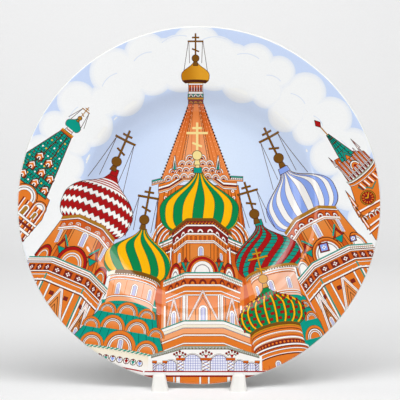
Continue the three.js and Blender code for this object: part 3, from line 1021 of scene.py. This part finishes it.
def draw_brick_tower():
    place = Place(54, -52.8, -13.5)
    draw_brick_side(place)
    dome = Onion(place, 17.9, 24.2, 38, bow=4.2, tip=2.4, wide_at=0.36, neck=0.16)
    striped_dome(dome, [TEAL, RED], 20, 128, -12)
    brick_lines(dome, 40, 128, -12)
    drum, wide = Drum(place, 16.4, 4.5), Drum(place, 19.4, 5)
    shade = fade(place, PEACH, srgb(244, 192, 168), -10, 14, "u")
    fill(drum, oblong(-drum.edge, -19, drum.edge, 3), shade)
    bottom = studded_eave(wide, 5.4, [(2.2, GOLD), (0.9, CREAM)])
    bands(drum, drum.edge, bottom, [(0.8, WHITE), (0.9, PEACH), (0.9, WHITE), (0.8, ORANGE)])
    windows(drum, (-16, -3, 11), -13.8, 4.4, 8.8)
    bands(drum, drum.edge, -14.8, [(0.8, WHITE), (0.8, ORANGE), (0.8, WHITE)])
    knob(place, 37, TEAL, 3.0, 4.5)
    cross(Place(41.6, -8.0, -16.5), BROWN, chains=((12, -15), (6.6, -9)))


def brick_lines(dome, share, twist, offset):
    """Joints across every other stripe."""
    for k in range(-8, 8):
        for course in range(12):
            t = 0.02 + course * 0.074
            low = k * share + offset + twist * t
            high = low + share / 2
            if high > -88 and low < 88 and t < 0.86:
                line(dome, [(max(-89, low), t + 0.03), (min(89, high), t)], 0.5, INK)


def draw_brick_side(place):
    """The stepped gables between the two right-hand towers."""
    fill(place, [(-20, 2), (15, 2), (17, -12), (22, -34), (28, -52), (28, -64), (-24, -64)], ORANGE)
    inked(place, [(-4, -19), (13, -18), (19, -24), (20, -33), (0, -30)], TEAL)
    inked(place, [(8, -32), (20, -32), (24.5, -44), (27, -64), (0, -64)], TEAL)
    layers = [(1, ORANGE), (0.78, MAROON), (0.74, WHITE), (0.62, PEACH), (0.56, WHITE), (0.46, ORANGE)]
    for u, v, radius in ((16.4, -31.2, 4.2), (19.2, -41, 4.8), (18.2, -54.6, 7.0)):
        arches(place, u, v, scaled_rings(radius, layers), 1.3)


def draw_dotted_tower():
    place = Place(55.6, -95.4, -12)
    dome = Onion(place, 16.8, 24.3, 32, bow=5.0, tip=1.8, wide_at=0.36, neck=0.14)
    striped_dome(dome, [GREEN], 200, 0, -100)
    for s in range(-78, 79, 22):
        path = [(s, 0.04 + 0.035 * j) for j in range(20)]
        line(dome, path, 1.7, INK)
        line(dome, path, 1.15, YELLOW)
    for s in range(-89, 90, 22):
        for course in range(7):
            t = 0.1 + course * 0.115
            size = 1.4 * math.cos(math.radians(s * 0.7)) * dome.width(t) / dome.widest
            if size > 0.3:
                centre = dome.at(s + (3 if course % 2 else -3), t)
                inked(Place(*centre, -12), taper(size, -0.95, size, 0.95), RED, 0.34)
    low, drum = Drum(place, 21, 6), Drum(place, 18.6, 5.4)
    fill(low, oblong(-33, -44, 33, -18), fade(place, PEACH, ORANGE, -36, -26))
    fill(drum, oblong(-drum.edge, -24, drum.edge, 2), ORANGE)
    layers = [
        (2.2, BROWN), (1.0, OCHRE), (1.6, ORANGE), (0.5, MAROON), (1.4, ORANGE), (0.9, WHITE),
        (0.8, PEACH), (1.6, ORANGE), (0.9, RUST), (1.4, WHITE), (0.6, PEACH), (3.2, MAROON),
    ]
    bottom = bands(drum, drum.edge, 4.8, layers)
    beads(drum, (-drum.edge, bottom + 1.5), (drum.edge, bottom + 1.5), 20, 0.9, ORANGE)
    bottom = bands(low, 33, bottom - 0.2, [(1.3, WHITE), (0.6, MAROON), (1.2, RUST), (0.9, WHITE)])
    bands(low, 33, bottom - 2.2, [(0.7, WHITE), (0.6, MAROON)])
    windows(low, -3.6, -29.5, 4.2, 7.2)
    posts(low, (-16, -11, 5, 11, 18), -24, -42, 0.5, RUST)
    cross(Place(47.7, -57.4, -13, 0.94), OCHRE, INK)


# ---------------------------------------------------------------- the outer towers

def draw_tiled_tower():
    place = Place(-99.4, 50.7, 38)
    wall = [(-17, -47), (22, -47), (27, -62), (26.5, -86), (-20, -86)]
    inked(place, wall, ORANGE)
    for u in (6, 10, 15, 19, 23):
        line(place, [(u, -57), (u + 2.4, -86)], 1.1, MAROON)
        line(place, [(u + 1, -57), (u + 3.4, -86)], 0.7, WHITE)
    stripes = ((-68, 1.8, WHITE), (-72, 1.4, MAROON), (-76, 2.2, WHITE), (-82, 1.4, MAROON))
    for v, thick, colour in stripes:
        inked(place, oblong(2, v - thick, 27, v), colour, 0.36)
    windows(place, 12.4, -68, 5, 8, GOLD)
    windows(place, 20.6, -66, 3.8, 6, GOLD)
    draw_tiles(place, [(-4.6, 0), (4.6, 0), (19.2, -48.5), (-19.2, -48.5)])
    for v, offsets in ((-25.6, (-4.4, 4.0)), (-34.4, (-5.0, 4.4, 12.2)), (-43.4, (-6.0, 5.4, 14.6))):
        for u in offsets:
            dormer(Place(*place.at(u, v), 34))
    rings = [(9.8, INK), (9.4, ORANGE), (8.4, WHITE), (7.2, GREY), (6.7, WHITE), (5.0, ORANGE)]
    arches(place, 5.8, -56.6, rings)
    arches(place, 20.0, -56.6, [(5.4, INK), (5.0, ORANGE), (4.2, WHITE), (3.2, GREY), (2.7, WHITE)])
    bands(place, 5.2, 1.8, [(1.4, OCHRE), (1.2, RUST)])
    inked(place, taper(3.0, 1.6, 2.6, 5), WHITE)
    beads(place, (-2.4, 3.2), (2.4, 3.2), 4, 0.6, RED)
    dome = Onion(Place(*place.at(0, 4.6), 38), 4.2, 6.2, 9.5, bow=1.2, tip=1.2, wide_at=0.4)
    striped_dome(dome, [TEAL], 200, 0, -100)
    cross(Place(*place.at(0.3, 15.4), 38, 0.42), GOLD, BROWN, chains=((12, -12), (17, -10)))


def draw_tiles(place, roof):
    """A steep roof of small green tiles with coloured studs."""
    inked(place, roof, TEAL, 0.7)
    for row in range(22):
        v = -1.2 - row * 2.15
        half = 4.4 - v * 0.3
        line(place, [(-half, v), (half, v)], 0.42, DARK_TEAL)
        shift = 0.5 if row % 2 else -0.5
        joints = np.array(spaced(-half, half, max(3, round(half / 1.1)))) + shift
        posts(place, joints, v, v - 2, 0.4, DARK_TEAL)
    for row in range(12):
        v = -3 - row * 3.8
        half = 4.0 - v * 0.29
        for k, u in enumerate(spaced(-half, half, 2 + row)):
            colour = (INK, MAROON, YELLOW, INK, WHITE)[(k * 3 + row) % 5]
            fill(place, circle(u, v, 0.7, 6), colour)
    for share in (-0.34, 0.34):
        line(place, [(4.6 * share, 0), (19 * share, -48)], 0.8, INK)


def dormer(place):
    """A little orange gabled window in a roof."""
    inked(place, [(-3.0, -2.8), (3.0, -2.8), (3.0, 0.6), (0, 3.6), (-3.0, 0.6)], ORANGE, 0.8)
    line(place, [(-2.2, 0.5), (0, 2.5), (2.2, 0.5)], 0.7, WHITE)
    posts(place, (-2.4, 2.4), -2.6, 0, 0.6, MAROON)
    fill(place, arch(0, -2.6, 1.2, 1.2), WHITE)
    fill(place, arch(0, -2.6, 0.6, 1.0), INK)


def draw_clock_tower():
    place = Place(111.2, 32.3, -40)
    draw_clock_walls()
    draw_clock_crown(place)
    curve = Drum(Place(*place.at(-0.2, -15.6), -40), 12.8, -3)
    bands(curve, 20, 0, [(1.0, SAGE), (1.0, WHITE), (0.7, MAROON), (1.4, ORANGE), (0.6, WHITE)])
    for u in (-8, -4, 0, 4, 8):
        line(place, [(u, -21), (u + 0.6, -26)], 1.2, MAROON)
        line(place, [(u + 1.6, -21), (u + 2.2, -26)], 0.9, WHITE)
    draw_dial(Place(125.2, 1.6, -20))
    for x, y, tall in ((112.6, 1.4, 7), (115.4, -5.6, 5), (118.2, -9.6, 5), (121.4, -14.6, 5)):
        spire = Place(x, y, -32)
        inked(spire, [(-1.5, -8), (1.5, -8), (0.9, 0), (0, tall), (-0.9, 0)], ORANGE, 0.4)
        posts(spire, 0, -7, 1, 0.7, WHITE)


def draw_clock_walls():
    """The walls that run off the plate's edge, with their stripes and windows."""
    body = [(112.3, 12.2), (131, 27), (140, 10), (140, -36), (130, -30), (119, -11.5)]
    inked(WHOLE, body, ORANGE)
    for v in (-9, -13.5, -21, -24.5):
        for drop, width, colour in ((0, 1.1, WHITE), (1.3, 0.7, MAROON)):
            line(WHOLE, [(113.5 - v * 0.5, v - drop), (140, v + 12 - drop)], width, colour)
    rings = [(2.1, MAROON), (1.8, WHITE), (1.1, ORANGE), (0.6, RED)]
    for x, y in ((122.6, -14.4), (127.4, -11.8), (131.8, -9.4)):
        arches(Place(x, y, -28), 0, -1.4, rings, 1.5, 1)
    corner = [(118.4, 9.6), (121.8, 7.6), (124.6, 9.6), (128.6, 8.6), (131, 13.6)]
    line(WHOLE, corner, 1.0, DARK_TEAL)
    line(WHOLE, corner, 0.5, TEAL)


def draw_clock_crown(place):
    """The white pinnacles, and the green spire with its red diamond."""
    inked(place, [(-9, 5), (-12.2, -16.5), (12, -16.5), (12, -4), (5, 2)], RUST)
    for u in spaced(-11.4, 11.6, 8):
        top = 3 - 0.35 * abs(u)
        pinnacle = [(u - 0.9, -15.5), (u + 0.9, -15.5), (u + 0.6, top), (u, top + 3), (u - 0.6, top)]
        inked(place, pinnacle, WHITE, 0.36)
        posts(place, u, -14, top, 0.5, MAROON)
        arches(place, u + 1.4, -15.4, [(1.1, WHITE), (0.6, MAROON)], stilt=3)
    for u in (-10.6, 10.8):
        inked(place, taper(1.1, 0, 0, 9.4, u), WHITE, 0.36)
        posts(place, u, 0, 7, 0.5, MAROON)
    inked(place, taper(5.8, 0, 0.9, 23), TEAL, 0.6)
    for share in (-0.55, 0, 0.55):
        line(place, [(share * 0.9, 22), (share * 5.6, 0)], 0.6, DARK_TEAL)
    for v in (3, 7, 11, 15, 19):
        half = 5.4 - v * 0.22
        beads(place, (-half, v), (half, v), 4, 0.6, INK)
    inked(place, taper(3.6, -1, 0, 6), TEAL)
    inked(place, taper(2.0, -1, 0, 3), ORANGE)
    arches(place, 0, -8.6, [(3.8, INK), (3.4, WHITE), (2.5, ORANGE), (1.1, RED)], 1.3)
    posts(place, 0, 23, 33, 0.9, GOLD)
    inked(place, [(-2.2, 34), (0, 30.6), (2.2, 34), (0, 37.8)], RED, 0.5)


def draw_dial(place):
    """A round clock face with plain strokes for its hours."""
    inked(place, circle(0, 0, 5.6, 24), OCHRE, 0.5)
    inked(place, circle(0, 0, 4.7, 24), RED, 0.5)
    fill(place, circle(0, 0, 2.6, 20), MAROON)
    for k in range(12):
        angle = math.radians(30 * k)
        line(place, [(r * math.cos(angle), r * math.sin(angle)) for r in (3.0, 4.1)], 0.5, OCHRE)
    for u, v in ((1.2, 2.6), (-1.8, 0.4)):
        line(place, [(0, 0), (u, v)], 0.6, YELLOW)


def draw_picture():
    """From the back of the picture to the front. A piece takes its drawing's name."""
    for draw in (
        draw_sky, draw_clouds, draw_tiled_tower, draw_clock_tower, draw_tent_tower,
        draw_zigzag_tower, draw_striped_tower, draw_middle_dome, draw_middle_tower,
        draw_swirl_tower, draw_brick_tower, draw_dotted_tower, draw_gallery,
    ):
        current_piece[0] = draw.__name__.replace("draw", "print")
        draw()


# ---------------------------------------------------------------- overlay and drape

RING_RADII = [20, 40, 55, *np.arange(60, 90, 2), 95, 102, 110, 118, 126, 131, 133.2, 134.1]
RING_STEP = 3.2  # these rings keep the sheet's triangles small enough to follow the plate
FEWEST_SIDES = 24
PRINT_SIDES = 560
MERGE = 1e-4  # corners of the sheet closer together than this are joined


def cut_up():
    """Cuts all the shapes into triangles that don't overlap, each in its topmost shape."""
    points, edges = [], []
    outlines = [shape[0] for shape in shapes]
    for radius in RING_RADII:
        sides = max(FEWEST_SIDES, int(2 * math.pi * radius / RING_STEP))
        outlines.append(circle(0, 0, radius, sides))
    outlines.append(circle(0, -PRINT_DROP, PRINT_RADIUS, PRINT_SIDES))
    for outline in outlines:
        start, count = len(points), len(outline)
        points += [Vector(p) for p in outline]
        edges += [(start + k, start + (k + 1) % count) for k in range(count)]
    made = delaunay_2d_cdt(points, edges, [], 0, MERGE, False)
    corners = np.array([(v.x, v.y) for v in made[0]])
    triangles = np.array(made[2])
    middle = corners[triangles].mean(axis=1)
    inside = np.hypot(middle[:, 0], middle[:, 1] + PRINT_DROP) < PRINT_RADIUS
    triangles, middle = triangles[inside], middle[inside]
    order = np.argsort(middle[:, 0])
    return corners, triangles[order], topmost(middle[order])


def topmost(middle):
    """The last shape that each point lies in. The points come sorted by x."""
    top = np.zeros(len(middle), int)
    for index, (outline, _, _) in enumerate(shapes):
        corners = np.array(outline)
        low, high = corners.min(axis=0), corners.max(axis=0)
        first, last = np.searchsorted(middle[:, 0], (low[0], high[0]))
        across = middle[first:last, 1]
        near = first + np.flatnonzero((across > low[1]) & (across < high[1]))
        top[near[winding(middle[near], corners) != 0]] = index
    return top


def winding(points, corners):
    """How many times an outline runs round each of the points."""
    turns = np.zeros(len(points), int)
    x, y = points.T
    for (x0, y0), (x1, y1) in zip(corners, np.roll(corners, -1, axis=0)):
        if y0 == y1:
            continue
        crossed = (y >= min(y0, y1)) & (y < max(y0, y1))
        crossed &= x < x0 + (y - y0) * (x1 - x0) / (y1 - y0)
        turns += np.where(crossed, 1 if y1 > y0 else -1, 0)
    return turns


def paint(top, corner_xy):
    """The colour of every triangle's corners, from the shape that the triangle lies in."""
    colours = np.ones((len(corner_xy), 4), np.float32)
    owner = np.repeat(top, 3)
    for index in np.unique(top):
        chosen = owner == index
        colour = shapes[index][1]
        if callable(colour):
            colour = colour(*corner_xy[chosen].T)
        colours[chosen, :3] = colour
    return colours.ravel()


def front_normals(flat, radius):
    """The plate's own normals, so that the sheets shade as one smooth surface."""
    radius = np.maximum(radius, 0.5)
    out = flat / radius[:, None]
    normals = np.column_stack([-front_slope(radius)[:, None] * out, np.ones(len(flat))])
    normals /= np.linalg.norm(normals, axis=1)[:, None]
    return normals @ np.array(PLATE_AXES).T


def drape(name, corners, triangles, top, material):
    """One piece of the print as a mesh on the plate's front, with its colours."""
    used, local = np.unique(triangles, return_inverse=True)
    flat = corners[used]
    radius = np.hypot(*flat.T)
    points = [on_plate(x, y, h) for (x, y), h in zip(flat, front_height(radius))]
    thing = add_mesh(name, points, local.reshape(-1, 3).tolist(), material)
    layer = thing.data.color_attributes.new("paint", "FLOAT_COLOR", "CORNER")
    layer.data.foreach_set("color", paint(top, corners[triangles].reshape(-1, 2)))
    thing.data.normals_split_custom_set_from_vertices(front_normals(flat, radius).tolist())
    return thing


def build_print(material):
    corners, triangles, top = cut_up()
    names = np.array([shape[2] for shape in shapes])[top]
    for name in sorted(set(names)):
        chosen = names == name
        stand_for_plate(drape(name, corners, triangles[chosen], top[chosen], material))


# ---------------------------------------------------------------- meshes

def add_mesh(name, points, faces, *materials):
    """A smoothly shaded mesh."""
    mesh = bpy.data.meshes.new(name)
    mesh.from_pydata(points, [], faces)
    mesh.polygons.foreach_set("use_smooth", [True] * len(faces))
    for material in materials:
        mesh.materials.append(material)
    thing = bpy.data.objects.new(name, mesh)
    bpy.context.collection.objects.link(thing)
    return thing


def stand_for_plate(thing):
    """A piece that is seen in place of the CAD plate."""
    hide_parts("plate")
    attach(thing, "plate")


# ---------------------------------------------------------------- materials

class Look:
    """A new material, with the few kinds of node that the finishes are made of."""

    def __init__(self, name):
        self.material = bpy.data.materials.new(name)
        self.material.use_nodes = True
        self.tree = self.material.node_tree
        self.shader = self.tree.nodes["Principled BSDF"]

    def set(self, name, value, node=None):
        """Gives an input a value, or joins it to another node's output."""
        socket = (node or self.shader).inputs[name]
        if isinstance(value, bpy.types.NodeSocket):
            self.tree.links.new(value, socket)
        else:
            socket.default_value = value

    def node(self, kind, inputs, **settings):
        node = self.tree.nodes.new(kind)
        for key, value in settings.items():
            setattr(node, key, value)
        for name, value in inputs.items():
            self.set(name, value, node)
        return node

    def noise(self, scale, detail, stretch=None):
        """A noise value that stays with the piece. scale is in cycles per metre."""
        place = self.node("ShaderNodeTexCoord", {}).outputs["Object"]
        if stretch:
            inputs = {"Vector": place, "Scale": stretch}
            place = self.node("ShaderNodeMapping", inputs).outputs["Vector"]
        inputs = {"Vector": place, "Scale": scale, "Detail": detail}
        return self.node("ShaderNodeTexNoise", inputs).outputs["Fac"]

    def spread(self, value, low, high):
        """Noise values run from about 0.3 to 0.7, and are spread from low to high."""
        inputs = {"Value": value, "From Min": 0.3, "From Max": 0.7, "To Min": low, "To Max": high}
        return self.node("ShaderNodeMapRange", inputs).outputs["Result"]

    def blend(self, value, low_colour, high_colour):
        """A base colour between two, by a noise value."""
        ramp = self.node("ShaderNodeValToRGB", {"Fac": value})
        low, high = ramp.color_ramp.elements
        low.position, high.position = 0.35, 0.65
        low.color, high.color = (*low_colour, 1), (*high_colour, 1)
        self.set("Base Color", ramp.outputs["Color"])

    def ripple(self, value, strength, distance):
        inputs = {"Height": value, "Strength": strength, "Distance": distance}
        self.set("Normal", self.node("ShaderNodeBump", inputs).outputs["Normal"])

    def glaze(self):
        """A hard gloss that is very slightly wavy, as fired glaze is."""
        self.set("Roughness", self.spread(self.noise(70, 2), 0.05, 0.1))
        self.set("IOR", 1.5)
        self.ripple(self.noise(26, 2), 0.35, 0.00022)


def glazed_print():
    """Ceramic colours under a clear glaze: a faint mottle in the colour, and a wavy gloss."""
    look = Look("glazed_print")
    colour = look.node("ShaderNodeVertexColor", {}, layer_name="paint").outputs["Color"]
    mottle = look.spread(look.noise(900, 3), 0.885, 0.915)
    mixed = look.node("ShaderNodeVectorMath", {0: colour, "Scale": mottle}, operation="SCALE")
    look.set("Base Color", mixed.outputs["Vector"])
    look.glaze()
    return look.material


def porcelain():
    """White glazed porcelain with faint clouding, and the glaze's slow waves."""
    look = Look("porcelain_glaze")
    look.blend(look.noise(30, 3), srgb(231, 231, 228), srgb(236, 236, 233))
    look.glaze()
    return look.material


def unglazed():
    """The ground rim of the foot ring: bare, slightly grey and rough."""
    look = Look("bare_porcelain")
    look.blend(look.noise(1400, 4), srgb(214, 208, 198), srgb(236, 232, 224))
    look.set("Roughness", 0.75)
    look.ripple(look.noise(2600, 3), 0.6, 0.0001)
    return look.material


def stand_plastic():
    """White moulded plastic with a fine spark texture, faintly scuffed."""
    look = Look("white_moulded_plastic")
    look.blend(look.noise(60, 5, (1, 1, 0.25)), srgb(232, 231, 226), srgb(242, 241, 237))
    grain = look.noise(1800, 3)
    look.set("Roughness", look.spread(grain, 0.42, 0.6))
    look.ripple(grain, 0.5, 0.00012)
    return look.material


def pin_steel():
    """Bright steel wire, drawn along its length."""
    look = Look("drawn_steel")
    lines = look.noise(1500, 4, (0.03, 1, 1))
    look.blend(lines, srgb(150, 152, 156), srgb(204, 206, 210))
    look.set("Metallic", 1)
    look.set("Roughness", look.spread(lines, 0.2, 0.42))
    look.ripple(lines, 0.3, 0.00004)
    return look.material


def studio_paper():
    look = Look("studio_paper")
    look.blend(look.noise(400, 3), (0.86, 0.86, 0.86), (0.88, 0.88, 0.88))
    look.set("Roughness", 0.7)
    look.set("Specular IOR Level", 0.15)
    return look.material


def finish_stand():
    """The stand's CAD pieces keep their shapes and get real finishes."""
    plastic, steel = stand_plastic(), pin_steel()
    for name in ("left_leg", "right_leg", "lower_crossbar", "upper_crossbar", "prop_leg"):
        frame["nodes"][name].material_slots[0].material = plastic
    frame["nodes"]["hinge_pin"].material_slots[0].material = steel


# ---------------------------------------------------------------- the plate's body

FOOT_ROUND = 0.6


def body_section():
    """The whole section: back, lip and front, with the front under the print."""
    back = [(0, FOOT_HEIGHT), (FOOT_INNER - 1.8, FOOT_HEIGHT)]
    inner_rise = [(FOOT_INNER - 1.2, FOOT_HEIGHT), (FOOT_INNER - 1, FOOT_HEIGHT - FOOT_ROUND)]
    back += bezier([back[-1], *inner_rise], 4)
    back += bezier([back[-1], (FOOT_INNER, 0), (FOOT_INNER + FOOT_ROUND, 0)], 6)
    outer_foot = [(FOOT_OUTER - FOOT_ROUND, 0), (FOOT_OUTER, 0), (FOOT_OUTER + 0.4, FOOT_ROUND)]
    back += bezier(outer_foot, 6)
    back += bezier([back[-1], (FOOT_OUTER + 1, 1.6), (FOOT_OUTER + 2.6, 2)], 6)
    underside = [
        back[-1],
        (FOOT_OUTER + 12, 3.6),
        (SHOULDER_RADIUS - 3, SHOULDER_HEIGHT - THICK - 1.4),
        (SHOULDER_RADIUS + 5, SHOULDER_HEIGHT - THICK + 0.35),
    ]
    back += bezier(underside, 24)
    lip = circle(LIP_RADIUS, LIP_HEIGHT, LIP_ROUND - PRINT_GAP, 20, -90, 90)
    front = [(r, h - PRINT_GAP) for r, h in FRONT[::-1] if r < LIP_RADIUS - 1]
    return back + lip + front


def build_body(glazed, bare, sides=256):
    """The plate as one turned body. Its foot ring stands on bare porcelain."""
    section = body_section()
    points, faces, materials = [on_plate(0, 0, section[0][1])], [], []
    for radius, height in section[1:-1]:
        points += [on_plate(x, y, height) for x, y in circle(0, 0, radius, sides)]
    points.append(on_plate(0, 0, section[-1][1]))
    rings = len(section) - 2
    on_foot = [height < 0.05 for _, height in section[1:-1]]
    for k in range(sides):
        after = (k + 1) % sides
        faces.append((0, 1 + after, 1 + k))
        materials.append(0)
        for ring in range(rings - 1):
            first = 1 + ring * sides
            second = first + sides
            faces.append((first + k, first + after, second + after, second + k))
            materials.append(int(on_foot[ring] and on_foot[ring + 1]))
        first = 1 + (rings - 1) * sides
        faces.append((first + sides, first + k, first + after))
        materials.append(0)
    thing = add_mesh("plate_body", points, faces, glazed, bare)
    thing.data.polygons.foreach_set("material_index", materials)
    thing.data.update()
    stand_for_plate(thing)


# ---------------------------------------------------------------- room

WORLD_COLOUR, WORLD_STRENGTH = (0.97, 0.98, 1, 1), 0.16
OBJECT_MIDDLE = (0, 0, 0.13)
LIGHTS = (  # name, place, target, width and height, power
    ("left_box", (-1.1, -1.35, 1.0), OBJECT_MIDDLE, (0.8, 1.2), 10),
    ("right_sheet", (1.5, -1.1, 2.0), OBJECT_MIDDLE, (2.2, 1.4), 14),
    ("overhead", (0.1, -0.7, 1.6), (0, 0.1, 0), (2.6, 1.2), 26),
    ("backdrop", (-0.3, 0.3, 1.2), (0, 1.5, 0.75), (2.2, 0.3), 6),
)
FLOOR_HALF, FLOOR_FRONT, FLOOR_BACK = 3.0, -3.0, 0.9
CURVE_RADIUS, PAPER_TOP = 0.6, 0.9
SEEN_WIDTH = 0.270  # the plate's width, which takes up PICTURE_SHARE of the picture's
PICTURE_SHARE = 0.91
LENS, SENSOR = 100, 36
CAMERA_RISE = math.radians(2.5)
CAMERA_SHIFT = 0.0023


def build_floor():
    """Pale studio paper that curves up behind the object."""
    rows = [(FLOOR_FRONT, 0)]
    for angle in np.linspace(0, math.pi / 2, 24):
        across, up = CURVE_RADIUS * math.sin(angle), CURVE_RADIUS * (1 - math.cos(angle))
        rows.append((FLOOR_BACK + across, up))
    rows.append((FLOOR_BACK + CURVE_RADIUS, PAPER_TOP))
    points = [(x, y, z) for y, z in rows for x in (-FLOOR_HALF, FLOOR_HALF)]
    faces = [(2 * k, 2 * k + 1, 2 * k + 3, 2 * k + 2) for k in range(len(rows) - 1)]
    thing = add_mesh("floor", points, faces, studio_paper())


def aim(name, data, place, direction):
    """A light or a camera at a place, facing in a direction."""
    thing = bpy.data.objects.new(name, data)
    thing.location = place
    thing.rotation_euler = direction.to_track_quat("-Z", "Y").to_euler()
    bpy.context.collection.objects.link(thing)
    return thing


def build_lights():
    """A soft box on the left, a sheet on the right, a broad one overhead, one on the backdrop."""
    world = bpy.data.worlds.new("studio")
    world.use_nodes = True
    sky = world.node_tree.nodes["Background"].inputs
    sky["Color"].default_value = WORLD_COLOUR
    sky["Strength"].default_value = WORLD_STRENGTH
    bpy.context.scene.world = world
    for name, place, target, size, power in LIGHTS:
        data = bpy.data.lights.new(name, "AREA")
        data.shape = "RECTANGLE"
        data.size, data.size_y = size
        data.energy = power
        aim(name, data, place, Vector(target) - Vector(place))


def build_camera():
    """Looks at the middle of the plate's rim, a little from above."""
    data = bpy.data.cameras.new("camera")
    data.lens, data.sensor_width = LENS, SENSOR
    data.shift_x = CAMERA_SHIFT
    distance = SEEN_WIDTH / PICTURE_SHARE / (SENSOR / LENS)
    back = Vector((0, -math.cos(CAMERA_RISE), math.sin(CAMERA_RISE)))
    place = on_plate(0, 0, LIP_HEIGHT) + back * distance
    bpy.context.scene.camera = aim("camera", data, place, -back)


build_camera()
build_lights()
build_floor()
build_body(porcelain(), unglazed())
draw_picture()
build_print(glazed_print())
finish_stand()

scene = bpy.context.scene
scene.view_settings.view_transform = "Standard"
